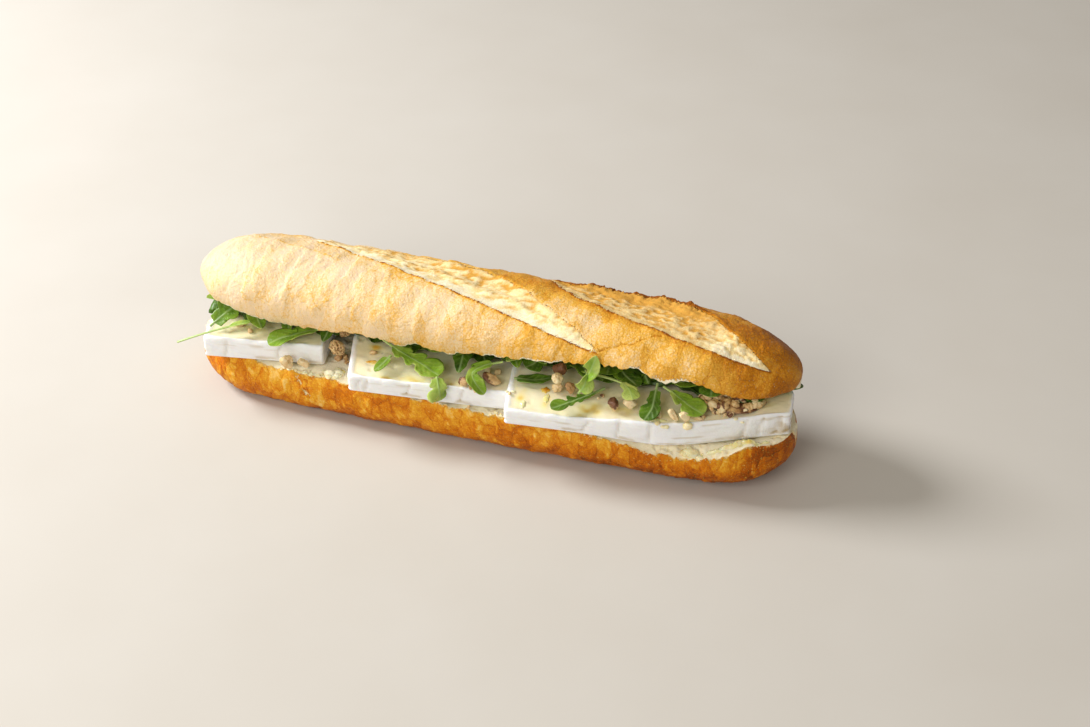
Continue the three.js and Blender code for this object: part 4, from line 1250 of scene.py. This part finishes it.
# The leaves that show whole at the front, from left to right: the path of each one's midrib from
# the stalk on, about half its width, its side lobes, how it is rolled and cupped, how light it is, the
# share of its length that is stalk and how far it narrows between lobes.
FRONT_LEAVES = [
    dict(path=[[-131, -30, 31], [-121, -27, 35], [-110, -22, 38], [-101, -17, 39.5]], width=1.3, cup=0.6,
         tone=0.8, stalk=0.72),
    dict(path=[[-119, -21, 36], [-115, -15, 39], [-112, -10, 41.5]], width=4.4, roll=24, tone=0.5, lobes=1,
         waist=0.6),
    dict(path=[[-66, -13, 40.5], [-76, -16, 38.5], [-85, -20, 36], [-90, -24, 34.4]], width=4.2, lobes=1,
         tone=0.62, waist=0.5),
    dict(path=[[-40, -14, 40.5], [-30, -18, 38.5], [-19, -22, 37], [-10, -26, 36]], width=5.0, lobes=2,
         cup=1.2, tone=0.68, waist=0.35),
    dict(path=[[-34, -20, 37.6], [-36, -25, 36], [-38, -29.6, 34.9]], width=1.9, cup=0.5, tone=0.6),
    dict(path=[[-10, -28.8, 37.4], [-8, -32.2, 34.2], [-7.2, -32.8, 28.6]], width=4.2, lobes=1,
         cup=-0.7, tone=0.85, stalk=0.02, waist=0.4),
    dict(path=[[15, -15.5, 41.5], [8, -19, 40.4], [4, -23, 38.6], [6.5, -27, 36.4], [11, -29, 33]],
         width=2.6, cup=0.8, tone=0.7, lobes=1, waist=0.6),
    dict(path=[[21, -19, 36.6], [30, -18, 37], [38, -15, 38]], width=2.4, cup=0.6, tone=0.25, stalk=0.05),
    dict(path=[[51, -25, 39.4], [53, -24.5, 43], [54, -22.5, 48]], width=3.0, cup=0.9, roll=70, tone=0.8),
    dict(path=[[60, -17, 38.4], [53.5, -23.5, 37.3], [48, -29, 36.8], [42, -34.5, 36.4]], width=2.7,
         lobes=3, cup=0.7, tone=0.4, waist=0.3),
    dict(path=[[54, -14, 42.4], [63, -15, 42.2], [70, -18.5, 42.4], [74, -24, 40.6]], width=3.0, lobes=1,
         cup=-0.6, tone=0.95, stalk=0.55, waist=0.4),
    dict(path=[[81, -11, 41.4], [81.5, -17, 39.4], [82, -24, 37.5], [80.5, -30, 35.9]], width=3.4, lobes=1,
         cup=0.8, tone=0.3, waist=0.45),
    dict(path=[[84, -13, 41.8], [90, -15, 40.2], [96, -18, 38.6], [103, -21, 37.4]], width=4.8, lobes=1,
         cup=0.8, tone=0.72, waist=0.3),
]

# Leaves that grow out of the bed, at the front and then at the back.
BED_LEAVES = [
    dict(path=[[-116, 2, 38.4], [-121, -3, 39.6], [-127, -7, 41]], width=3.0, tone=0.75),
    dict(path=[[-104, -3, 38], [-101, -11, 38.6], [-96, -17, 37]], width=3.2, cup=0.8, tone=0.6),
    dict(path=[[-70, 0, 38.4], [-67, -8, 38.6], [-67, -17, 36]], width=2.5, cup=0.9, tone=0.3),
    dict(path=[[-26, -3, 39.6], [-20, -9, 41], [-12, -15, 41]], width=4.2, lobes=1, tone=0.5),
    dict(path=[[-8, -2, 40], [-4, -12, 40.5], [-2, -24, 38]], width=3.0, tone=0.25),
    dict(path=[[4, -2, 40], [0, -10, 42], [-6, -16, 41]], width=2.8, tone=0.5),
    dict(path=[[22, -1, 39.4], [19, -8, 40.6], [16, -14, 41]], width=2.6, cup=0.8, tone=0.7),
    dict(path=[[30, -1, 39.4], [30, -8, 41], [33, -13, 42.6]], width=2.8, tone=0.45),
    dict(path=[[44, -1, 39.6], [49, -8, 39.5], [58, -13, 39.4]], width=3.2, cup=0.8, tone=0.35),
    dict(path=[[51, -15, 44], [54.6, -22.6, 48.5], [57.6, -22.2, 57.6]], width=2.7, cup=0.7, roll=78,
         tone=0.8, stalk=0.3),
    dict(path=[[62, -1, 39.4], [66, -7, 39.6], [73, -12, 38.8]], width=3.8, lobes=1, cup=0.8, tone=0.25),
    dict(path=[[96, 0, 39.4], [92, -6, 41], [87, -10, 42.5]], width=3.8, cup=0.9, tone=0.6),
    dict(path=[[122, 6, 37.5], [130, 8, 37.4], [138.4, 10, 38]], width=2.8, cup=0.6, tone=0.25),
    dict(path=[[-104, 8, 37], [-108, 20, 35], [-111, 28, 30]], width=4.8, lobes=2, cup=0.8),
    dict(path=[[-76, 10, 37], [-80, 22, 34.6], [-79, 30, 28]], width=4.4, lobes=1, cup=0.8),
    dict(path=[[-48, 8, 37], [-44, 20, 34], [-46, 30, 29]], width=5.0, lobes=2, cup=0.8),
    dict(path=[[-16, 8, 37], [-20, 20, 33], [-19, 29, 27]], width=4.6, lobes=1, cup=0.8),
    dict(path=[[12, 9, 37], [16, 20, 34], [14, 31, 29]], width=5.2, lobes=2, cup=0.8),
    dict(path=[[44, 9, 37], [40, 20, 34], [43, 30, 27.5]], width=4.4, lobes=1, cup=0.8),
    dict(path=[[72, 10, 37], [77, 21, 34.6], [76, 31, 29.5]], width=4.8, lobes=2, cup=0.8),
    dict(path=[[102, 12, 37], [106, 21, 34.4], [104, 29, 28]], width=4.4, lobes=1, cup=0.8),
]


def front_leaves():
    """The leaves that show whole, each in place of its own solid."""
    for number, shape in enumerate(FRONT_LEAVES, 1):
        label = f"arugula_leaf_{number:02d}"
        points, faces, masks = leaf(seed=400 + number, **shape)
        piece = mesh_piece("single_" + label, points, faces, ARUGULA, masks)
        finish_piece(piece, [label])


def bed_core():
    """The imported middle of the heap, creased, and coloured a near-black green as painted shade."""
    unit, faces = box_shell(BED_CELLS)
    u, v, up = unit.T
    end = np.sin(math.pi * np.clip(u, 0.02, 0.98)) ** 0.35
    x = lerp(-126, 124, u)
    swell = np.sin(0.31 * x) + 0.6 * np.sin(0.73 * x + 1.4)
    back = brie_back_at(x) + 1
    front = -6.5 + 1.5 * swell
    rear = np.maximum(back + 1.2, (22 + swell) * end)
    on_brie = v <= 0.5
    y = np.where(on_brie, lerp(front, back, v * 2), lerp(back + 0.8, rear, v * 2 - 1))
    floor = np.where(on_brie, brie_top_at(x) + 0.65, CUT_HEIGHT + 1)
    slope = 2 + 0.42 * (y - front) + 0.8 * swell
    top = np.minimum(ceiling_at(y) - 1.25, brie_top_at(x) + 1.2 + slope)
    fade = np.where(on_brie, 1, smoothstep(u, 0, 0.05) * smoothstep(1 - u, 0, 0.05))
    z = lerp(floor, np.maximum(lerp(floor, top, fade), floor + 1), up)
    place = np.stack([x, y, z], -1)
    folds, number, _ = flakes(place + noise(place, 6.0, 501)[:, None] * 2, (6, 5, 4), 511)
    z = z + (up > 0.9) * 0.8 * (number - 0.9) - (1 - smoothstep(folds, 0, 0.3)) * 0.5 * (up > 0.4)
    y = y + (v < 0.02) * 1.2 * noise(place, 3.0, 521)
    y = y - (v > 0.98) * (2.2 * number + 1.5 * (1 - smoothstep(folds, 0, 0.35)))
    # The core's low tone is painted shade: the heap lies in the dark under the upper half.
    masks = {"rib": 0 * x, "vein": 0.2 * (1 - smoothstep(folds, 0, 0.2)), "tone": 0.02 + 0.22 * number}
    return np.stack([x, y, np.minimum(z, ceiling_at(y) - 0.9)], -1), faces, masks


def tucked_leaves(count, seed):
    """Leaves laid at random in the heap, under the upper half's cut face."""
    draw = np.random.default_rng(seed)
    for k in range(count):
        x = draw.uniform(-120, 120)
        at_back = draw.random() < 0.5
        y = draw.uniform(6, 20) if at_back else draw.uniform(-7, 0)
        heading = draw.uniform(0.2, 2.9) * (1 if at_back else -1)
        length = draw.uniform(12, 20)
        low, high = brie_top_at(np.array([x]))[0] + 1.2, ceiling_at(y) - 1.4
        z = draw.uniform(low, max(low + 0.2, high))
        step = np.array([math.cos(heading), math.sin(heading), 0]) * length / 2
        drop = draw.uniform(0.5, 4) if at_back else draw.uniform(-0.5, 1)
        middle = np.array([x, y, z])
        path = [middle - step, middle + (0, 0, 0.6), middle + step - (0, 0, drop)]
        path = [[px, np.clip(py, -14, 29), min(pz, ceiling_at(py) - 1.2)] for px, py, pz in path]
        yield leaf(path, draw.uniform(2.2, 4.4), 600 + k, lobes=int(draw.integers(0, 3)),
                   roll=draw.uniform(-30, 30), cup=draw.uniform(-0.8, 1), tone=draw.uniform(0.12, 0.62))


def leaves_at_back(count, seed):
    """Leaves that close the gap between the halves at the back, most of them turned outwards."""
    draw = np.random.default_rng(seed)
    for k in range(count):
        x = lerp(-121, 118, (k + draw.uniform(0.1, 0.9)) / count)
        end = math.sin(math.pi * (x + 126) / 250) ** 0.35
        y = max(brie_back_at(np.array([x]))[0] + 2.5, 22 * end) + draw.uniform(-1, 2.6)
        z = draw.uniform(CUT_HEIGHT + 3, ceiling_at(y) - 3)
        reach = draw.choice([-1, 1]) * draw.uniform(7, 11)
        drop = draw.uniform(-1, 3.5)
        far_end = [x + reach, y + draw.uniform(-2, 1.5), z - drop]
        path = [[x - reach, y - 4, z + 1], [x, y, z + 0.5], far_end]
        path = [[px, py, max(CUT_HEIGHT + 1.5, min(pz, ceiling_at(py) - 1.5))] for px, py, pz in path]
        yield leaf(path, draw.uniform(2.4, 4.6), 700 + k, lobes=int(draw.integers(0, 3)),
                   roll=draw.uniform(25, 80), cup=draw.uniform(-0.8, 1), tone=draw.uniform(0.2, 0.7))


def arugula_bed():
    """The whole heap of leaves between the brie and the upper half."""
    parts = [bed_core()]
    parts += [leaf(seed=450 + k, **shape) for k, shape in enumerate(BED_LEAVES)]
    parts += tucked_leaves(count=46, seed=5)
    parts += leaves_at_back(count=50, seed=6)
    points, faces, masks = joined(parts)
    finish_piece(mesh_piece("arugula_heap", points, faces, ARUGULA, masks), ["arugula_bed"])


# ------------------------------------------------------------------ nuts

NUT_SWELL = 1.12  # a broken kernel against its solid, to make up for what the breaks cut off
DRAW_FACTOR = 16807
DRAW_RANGE = 2147483647


def part_draw(seed):
    """The part's own repeatable draw, so that each kernel keeps the dents of its solid."""
    state = seed
    while True:
        state = state * DRAW_FACTOR % DRAW_RANGE
        yield state / DRAW_RANGE


def turn_about(axis, angle):
    """The matrix that turns points about an axis, by an angle in radians."""
    first, second = (axis + 1) % 3, (axis + 2) % 3
    matrix = np.eye(3)
    matrix[[first, second], [first, second]] = math.cos(angle)
    matrix[second, first] = math.sin(angle)
    matrix[first, second] = -math.sin(angle)
    return matrix


def kernel(at, size, seed, turn=0, detail=4, skin=0.0, tan=0.3, ridges=0.0, chips=0.9):
    """A broken kernel. skin is the share of it under brown skin, ridges is how deeply it folds, and
    chips is how flat it broke."""
    draw = part_draw(seed)
    dents = []
    for _ in range(5):
        direction = np.array([next(draw) - 0.5, next(draw) - 0.5, next(draw) - 0.5])
        dents.append((direction / np.linalg.norm(direction), 0.12 + 0.22 * next(draw)))
    tilt_x, tilt_y, tilt_z = next(draw) * 0.6, next(draw) * 0.6, math.radians(turn)
    unit, faces = ball(detail)
    radius = np.ones(len(unit))
    for direction, depth in dents:
        radius -= depth * np.clip(unit @ direction * 1.6 - 0.5, 0, 1)
    scaled = unit * np.array(size)
    radius += 0.1 * rough_noise(scaled + seed, 1.8, seed, 2)
    breaks = np.random.default_rng(seed)
    ways = breaks.normal(size=(7, 3))
    ways /= np.linalg.norm(ways, axis=1, keepdims=True)
    flat_side = np.min(breaks.uniform(0.32, 0.64, 7) / np.maximum(unit @ ways.T, 0.05), axis=1) * 1.5
    radius = lerp(radius, np.minimum(1.08 * radius, flat_side), chips)
    facets, number, _ = flakes(scaled * 0.5 + seed, 1.1, seed)
    radius += 0.1 * (number - 0.5) * smoothstep(facets, 0, 0.25)
    folds = np.abs(noise(scaled + seed * 3, 1.9, seed + 5))
    radius -= ridges * (1 - smoothstep(folds, 0, 0.3)) * 0.34
    turned_by = turn_about(0, tilt_x) @ turn_about(1, tilt_y) @ turn_about(2, tilt_z)
    points = (unit * radius[:, None] * size * NUT_SWELL / 2) @ turned_by.T + np.array(at)
    skin_side = unit @ dents[0][0]
    limit = 1 - 2 * skin
    covered = smoothstep(skin_side + 0.25 * noise(scaled, 1.5, seed + 9), limit - 0.08, limit + 0.08)
    masks = {
        "skin": covered * (1.0 if skin > 0 else 0.0),
        "tan": tan + 0.5 * (1 - smoothstep(folds, 0, 0.3)) * (0.4 + ridges) + 0.25 * (number - 0.5),
    }
    return points, faces, masks


# The kernels: place, size, seed of the dents, and how tan, skinned, ridged and chipped each is.
NUTS = {
    "walnut_piece_left": dict(at=[-62.6, -14.3, 31], size=[9, 7, 9], seed=11, tan=0.5, ridges=0.9,
                              detail=5, chips=0.2),
    "walnut_piece_left_back": dict(at=[-62.3, -6, 36.4], size=[8, 6, 6], seed=12, tan=0.6, ridges=0.9,
                                   detail=5, chips=0.2),
    "nut_piece_left_rim": dict(at=[-81.3, -23.4, 27], size=[7, 4.6, 6.6], seed=13, tan=0.3),
    "nut_piece_left_rim_small": dict(at=[-75.2, -22, 26.2], size=[5, 4.4, 4.8], seed=14, tan=0.2),
    "nut_piece_middle_front": dict(at=[0.4, -25, 35], size=[5, 4, 4], seed=15, tan=0.7, skin=0.5),
    "nut_piece_middle": dict(at=[11.2, -20.6, 35.5], size=[8, 5, 4.6], seed=16, tan=0.6, skin=0.45),
    "nut_skin_dark": dict(at=[39.9, -14.9, 43.5], size=[6, 5, 6], seed=17, skin=0.8, tan=0.5),
    "nut_piece_centre_pale": dict(at=[40.5, -20.8, 42.6], size=[5, 4.6, 5.4], seed=18, tan=0.1, ridges=0.4),
    "nut_piece_centre_low": dict(at=[40.2, -20.6, 37.2], size=[5.6, 4.6, 4.2], seed=19, tan=0.3,
                                 ridges=0.3),
    "hazelnut_piece_orange": dict(at=[46, -20.8, 38.4], size=[5, 4.4, 5.2], seed=20, tan=0.9, skin=0.3),
    "hazelnut_half": dict(at=[65.6, -24.8, 37.5], size=[5.8, 5.4, 5.2], seed=21, skin=0.75, tan=0.3),
    "nut_piece_right_pale": dict(at=[72.6, -23, 37.6], size=[7, 5, 4.6], seed=22, tan=0.1),
    "nut_piece_right_row_a": dict(at=[91.2, -24.8, 37.4], size=[5.4, 4.4, 4], seed=23, tan=0.15),
    "nut_piece_right_row_b": dict(at=[96, -25.2, 37.2], size=[4.8, 3.8, 3.8], seed=24, tan=0.1),
}


def nut_pieces():
    """The kernels that show one by one, each in place of its own solid."""
    for name, shape in NUTS.items():
        points, faces, masks = kernel(**shape)
        piece = mesh_piece("kernel_" + name, points, faces, NUT, masks)
        finish_piece(piece, [name])


# The heap of chopped nuts: its middle, how far it reaches each way, and how many pieces it has.
HEAP_AT = np.array([112, -9, 36.5])
HEAP_REACH = np.array([13, 7.5, 3.2])
HEAP_PIECES = 18  # as its solid has them
HEAP_BITS = 46


def heap_core():
    """The low middle of the heap, under its pieces."""
    unit, faces = ball(5)
    spread = unit * HEAP_REACH * (0.86, 0.84, 0.45)
    spread[:, 2] = np.where(unit[:, 2] < 0, 0.4 * unit[:, 2], spread[:, 2])
    core = HEAP_AT + spread
    core[:, 2] += 0.6 * rough_noise(core, 2.4, 701, 2) * (unit[:, 2] > -0.2)
    masks = {
        "skin": smoothstep(noise(core, 2.0, 702), -0.3, 0.2),
        "tan": 0.8 + 0.4 * noise(core, 2.0, 703),
    }
    return core, faces, masks


def on_heap(angle, out, lift=1.0):
    """A place on the heap's dome: out is 0 over its middle and 1 at its rim."""
    dome = math.sqrt(max(0, 1 - out * out)) * lift
    return HEAP_AT + HEAP_REACH * (out * math.cos(angle), out * math.sin(angle), dome)


def chopped_nuts():
    """The heap at the right: its low core, the pieces of its solid, and small bits over them."""
    parts = [heap_core()]
    draw = part_draw(77)
    for k in range(HEAP_PIECES):
        at = on_heap(2 * math.pi * next(draw), math.sqrt(next(draw)) * 0.95)
        size = 2.8 + 2.2 * next(draw)
        parts.append(kernel(at, [size, size * 0.8, size * 0.75], 100 + k, 360 * next(draw),
                            skin=(k % 4 == 0) * 0.5, tan=0.1 + 0.12 * (k % 5), chips=1.0))
    small = np.random.default_rng(78)
    for k in range(HEAP_BITS):
        angle = small.uniform(0, 2 * math.pi)
        out = math.sqrt(small.random())
        size = small.uniform(2.4, 5.0)
        at = on_heap(angle, out, small.uniform(0.45, 1.05))
        parts.append(kernel(at, [size, size * 0.75, size * 0.7], 200 + k, small.uniform(0, 360), 3,
                            skin=(k % 4 == 0) * 0.5, tan=small.uniform(0, 0.7), chips=1.0))
    points, faces, masks = joined(parts)
    finish_piece(mesh_piece("chopped_nut_heap", points, faces, NUT, masks), ["chopped_nuts"])


# ------------------------------------------------------------------ loose bits and honey


HIGH_ABOVE = 60.0  # from where the height of the brie and the bread is felt, downwards
MISSED = -1.0
LOWEST_REST = 18  # bits that would fall lower than this are left out


class Surface:
    """What loose bits fall on: the height of the brie and the lower half under a point."""

    def __init__(self, meshes):
        self.trees = [BVHTree.FromPolygons(points.tolist(), as_lists(faces)) for points, faces in meshes]

    def height(self, x, y):
        """Height of the uppermost mesh at a place."""
        hits = [tree.ray_cast(Vector((x, y, HIGH_ABOVE)), Vector((0, 0, -1)))[0] for tree in self.trees]
        return max([MISSED] + [hit.z for hit in hits if hit is not None])


# Small nut bits: place, reach along and across, count, size and how brown.
NUT_BITS = [
    (-107.5, -12, 4, 2.5, 5, 3.4, 0.5), (7.5, -13, 3, 2, 2, 3.8, 0.1),
    (-11.8, -17.5, 1.2, 0.8, 1, 3.2, 0.0), (-47, -15, 1.5, 1, 1, 3, 0.5),
    (86, -21.2, 3, 1.4, 3, 3.2, 0.1), (99, -20.4, 5, 1.4, 10, 3.2, 0.15),
    (110, -15.5, 6, 1.0, 8, 3.0, 0.2), (122, -5, 2.5, 2, 5, 2.8, 0.4),
    (4, -26, 3, 2, 3, 2.6, 0.5), (58, -19, 3, 1.6, 2, 2.4, 0.3), (-62, -9, 3, 3, 4, 3.0, 0.7),
]

# Crumbs and mashed brie on the lower rim: place, reach, count, size and how toasted.
CRUMB_BITS = [
    (100, -26, 3.0, 1.2, 10, 4.2, 0.4), (90, -28.6, 4, 0.8, 8, 2.2, 0.3),
    (-61.5, -19.5, 2.6, 3.2, 18, 3.6, 0.12), (-64, -21, 4, 2.4, 16, 2.2, 0.25),
    (17, -26.5, 6, 1.0, 8, 1.6, 0.3), (-81, -22.6, 8, 0.8, 8, 1.5, 0.3),
    (122, -17, 5, 1.2, 6, 1.8, 0.2), (-73, -22, 3, 0.8, 6, 2.2, 0.2),
]

# A band of brie and honey mashed into the crumb in front of the right slice.
MASHED_PATH = [(104, -25.6), (110, -23.6), (117, -20.6), (124, -17), (130, -13.4)]
MASHED_CELLS = 120
LEVELLING = 8  # cells each way over which the ground under it is evened out


def scattered(spots, surface, seed, sink, make):
    """Bits strewn round each spot, at rest on the surface."""
    draw = np.random.default_rng(seed)
    for x, y, reach_x, reach_y, count, size, tint in spots:
        for _ in range(count):
            px = x + reach_x * draw.normal() * 0.6
            py = y + reach_y * draw.normal() * 0.6
            pz = surface.height(px, py)
            if pz < LOWEST_REST:
                continue
            lump = size * draw.uniform(0.6, 1.15)
            yield make([px, py, pz + lump * sink], lump, tint + draw.uniform(-0.15, 0.2), draw)


def nut_bit(at, size, tint, draw):
    """A small broken kernel."""
    return kernel(at, [size * 1.15, size * 0.85, size * 0.75], int(draw.integers(1000, 9000)),
                  draw.uniform(0, 360), 3, skin=(draw.random() < 0.3) * 0.4, tan=tint)


def crumb_bit(at, size, tint, draw):
    """A soft uneven lump, wider than it is high."""
    unit, faces = ball(3 if size > 2 else 2)
    stretch = np.array([draw.uniform(0.8, 1.4), draw.uniform(0.7, 1.1), draw.uniform(0.5, 0.9)]) * size / 2
    seed = int(draw.integers(1000, 9000))
    radius = 1 + 0.22 * noise(unit + seed, 0.8, seed)
    points = unit * radius[:, None] * stretch + np.array(at)
    return points, faces, {"toast": tint + 0.25 * noise(unit, 0.6, seed + 1)}


def loose_bits(surface):
    """Small bits of nut, and crumbs of bread and brie. No solid stands for them."""
    points, faces, masks = joined(scattered(NUT_BITS, surface, seed=801, sink=0.3, make=nut_bit))
    finish_piece(mesh_piece("small_nut_bits", points, faces, NUT, masks))
    points, faces, masks = joined(scattered(CRUMB_BITS, surface, seed=811, sink=0.15, make=crumb_bit))
    finish_piece(mesh_piece("bread_and_brie_crumbs", points, faces, CRUMBS, masks))


def mashed_band(surface):
    """Brie and honey pressed into the crumb, as one lumpy ridge."""
    places, directions, length = smooth_path([(x, y, 0) for x, y in MASHED_PATH], MASHED_CELLS + 1)
    across = np.stack([-directions[:, 1], directions[:, 0], 0 * directions[:, 0]], -1)
    level = np.array([surface.height(x, y) for x, y, _ in places])
    span = 2 * LEVELLING + 1
    level = np.convolve(np.pad(level, LEVELLING, mode="edge"), np.ones(span) / span, mode="valid")
    unit, faces = box_shell([MASHED_CELLS, 20, 1])
    row = np.rint(unit[:, 0] * MASHED_CELLS).astype(int)
    side = unit[:, 1] * 2 - 1
    ends = np.sin(math.pi * np.clip(unit[:, 0], 0.01, 0.99)) ** 0.45
    edge = np.stack([unit[:, 0] * length, 3 * np.sign(side), 0 * side], -1)
    spread = 1.6 * ends * (1 + 0.5 * noise(edge, 2.6, 861))
    points = places[row] + across[row] * (side * spread)[:, None]
    lumps = 1 + 0.75 * noise(points, 2.3, 863) + 0.35 * noise(points, 1.0, 865)
    dome = 1.5 * ends * np.sqrt(np.maximum(0, 1 - side**2)) * lumps
    points[:, 2] = level[row] + np.where(unit[:, 2] > 0.5, dome, -0.9)
    masks = {"depth": 0.16 + 0.35 * noise(points, 2.6, 867)}
    finish_piece(mesh_piece("mashed_brie_and_honey", points, faces, HONEY, masks))


# Pools of honey on the brie and the crumb: place, reach along and across, turn in degrees,
# thickness and depth of colour.
HONEY_POOLS = [
    (35.2, -20.6, 1.7, 1.9, 0, 0.7, 0.95), (37.2, -25.4, 1.3, 2.6, 10, 0.6, 0.35),
    (-43, -20.8, 2.2, 0.7, 25, 0.6, 0.9), (-59.8, -17.2, 2.4, 1.5, 0, 0.7, 0.4),
    (28.5, -30.5, 1.2, 1.8, 0, 0.6, 0.2), (85, -26.3, 3.6, 1.0, 10, 0.6, 0.2),
]
POOL_RINGS = 9
POOL_SIDES = 40


def pool_faces():
    """Faces of a pool: a top of rings round its middle point, the same below and a rim between."""
    count = 1 + POOL_RINGS * POOL_SIDES
    faces = [(0, 1 + j, 1 + (j + 1) % POOL_SIDES) for j in range(POOL_SIDES)]
    for ring in range(POOL_RINGS - 1):
        first = 1 + ring * POOL_SIDES
        for j in range(POOL_SIDES):
            a, b = first + j, first + (j + 1) % POOL_SIDES
            faces.append((a, a + POOL_SIDES, b + POOL_SIDES, b))
    faces += [tuple(count + i for i in face[::-1]) for face in faces]
    rim = count - POOL_SIDES
    for j in range(POOL_SIDES):
        a, b = rim + j, rim + (j + 1) % POOL_SIDES
        faces.append((a, a + count, b + count, b))
    return faces


def honey_pools(surface):
    """Thin uneven pools that follow what they lie on."""
    angle = np.arange(POOL_SIDES) / POOL_SIDES * 2 * math.pi
    rings = np.arange(1, POOL_RINGS + 1) / POOL_RINGS
    share = np.concatenate([[0], np.repeat(rings, POOL_SIDES)])
    dome = np.sqrt(np.maximum(0, 1 - share**2))
    parts = []
    for k, (x, y, reach_x, reach_y, turn, thickness, depth) in enumerate(HONEY_POOLS):
        edge = np.stack([np.cos(angle) * 2, np.sin(angle) * 2, 0 * angle + k * 5], -1)
        uneven = 1 + 0.35 * noise(edge, 1.0, 900 + k) + 0.12 * noise(edge, 0.4, 950 + k)
        out_x = np.concatenate([[0], np.outer(rings, reach_x * np.cos(angle) * uneven).ravel()])
        out_y = np.concatenate([[0], np.outer(rings, reach_y * np.sin(angle) * uneven).ravel()])
        out_x, out_y = spun(out_x, out_y, math.radians(turn))
        base = np.array([surface.height(px, py) for px, py in zip(x + out_x, y + out_y)])
        top = np.column_stack([x + out_x, y + out_y, base + 0.03 + thickness * dome - 0.12 * share])
        bottom = top - np.outer(0.3 + thickness * dome, (0, 0, 1))
        masks = {"depth": np.tile(depth * (0.5 + 0.5 * dome), 2)}
        parts.append((np.concatenate([top, bottom]), pool_faces(), masks))
    points, faces, masks = joined(parts)
    finish_piece(mesh_piece("honey_pools", points, faces, HONEY, masks))


# ------------------------------------------------------------------ stage

CAMERA_AZIMUTH = math.radians(17.522)
CAMERA_ELEVATION = math.radians(35)
CAMERA_LENS = 60
CAMERA_SENSOR = 36
CAMERA_CLIP = 20
CAMERA_AT = np.array([220.811, -608.832, 480.131]) + SANDWICH_ORIGIN
LIT_AT = (0, 0, 0.03)  # what the lights point at, m
FLOOR_SIZE = 6
FLOOR_DROP = 0.0002  # under the sandwich, m


def set_camera():
    """The camera at the photograph's viewing angle."""
    data = bpy.data.cameras.new("photo_view")
    data.lens = CAMERA_LENS
    data.sensor_width = CAMERA_SENSOR
    data.clip_end = CAMERA_CLIP
    camera = bpy.data.objects.new("photo_view", data)
    bpy.context.scene.collection.objects.link(camera)
    camera.location = Vector(CAMERA_AT * MM)
    camera.rotation_euler = (math.pi / 2 - CAMERA_ELEVATION, 0, CAMERA_AZIMUTH)
    bpy.context.scene.camera = camera


def area_light(name, at, size, power, tint):
    """A round soft light that points at the filling."""
    data = bpy.data.lights.new(name, "AREA")
    data.shape = "DISK"
    data.size = size
    data.energy = power
    data.color = tint
    lamp = bpy.data.objects.new(name, data)
    bpy.context.scene.collection.objects.link(lamp)
    lamp.location = at
    lamp.rotation_euler = (Vector(LIT_AT) - Vector(at)).to_track_quat("-Z", "Y").to_euler()


def set_stage():
    """The pale floor, the room's soft light, the window at the left and a fill from the front."""
    material, build, shader = new_material("pale_floor", Roughness=0.75, Specular_IOR_Level=0.2)
    tone = placed_group(build, MOTTLE, Patch_Scale=14.0, Speck_Scale=160.0)
    share = build.plus(build.times(tone.outputs["Patches"], 0.8), 0.5, clamp=True)
    floor_tone = build.mix(share, colour(0.57, 0.53, 0.47), colour(0.63, 0.6, 0.55))
    build.put(shader.inputs["Base Color"], floor_tone)
    bpy.ops.mesh.primitive_plane_add(size=FLOOR_SIZE, location=(0, 0, -FLOOR_DROP))
    floor = bpy.context.object
    floor.name = "floor"
    floor.data.materials.append(material)
    world = bpy.data.worlds.new("soft_room")
    world.use_nodes = True
    backdrop = world.node_tree.nodes["Background"]
    backdrop.inputs["Color"].default_value = colour(1.0, 0.94, 0.85)
    backdrop.inputs["Strength"].default_value = 0.33
    bpy.context.scene.world = world
    area_light("window", at=(-0.95, 0.02, 0.74), size=0.45, power=16.6, tint=(0.98, 0.985, 1.0))
    area_light("front_fill", at=(-0.3, -1.2, 0.8), size=0.9, power=10.2, tint=(1.0, 0.97, 0.92))
    bpy.context.scene.view_settings.view_transform = "Standard"


# ------------------------------------------------------------------ the sandwich

bread_top()
lower_half = bread_bottom()
slices = [brie_slice(name) for name in SLICES]
front_leaves()
arugula_bed()
nut_pieces()
chopped_nuts()

resting_place = Surface([lower_half] + slices)
loose_bits(resting_place)
mashed_band(resting_place)
honey_pools(resting_place)

set_camera()
set_stage()
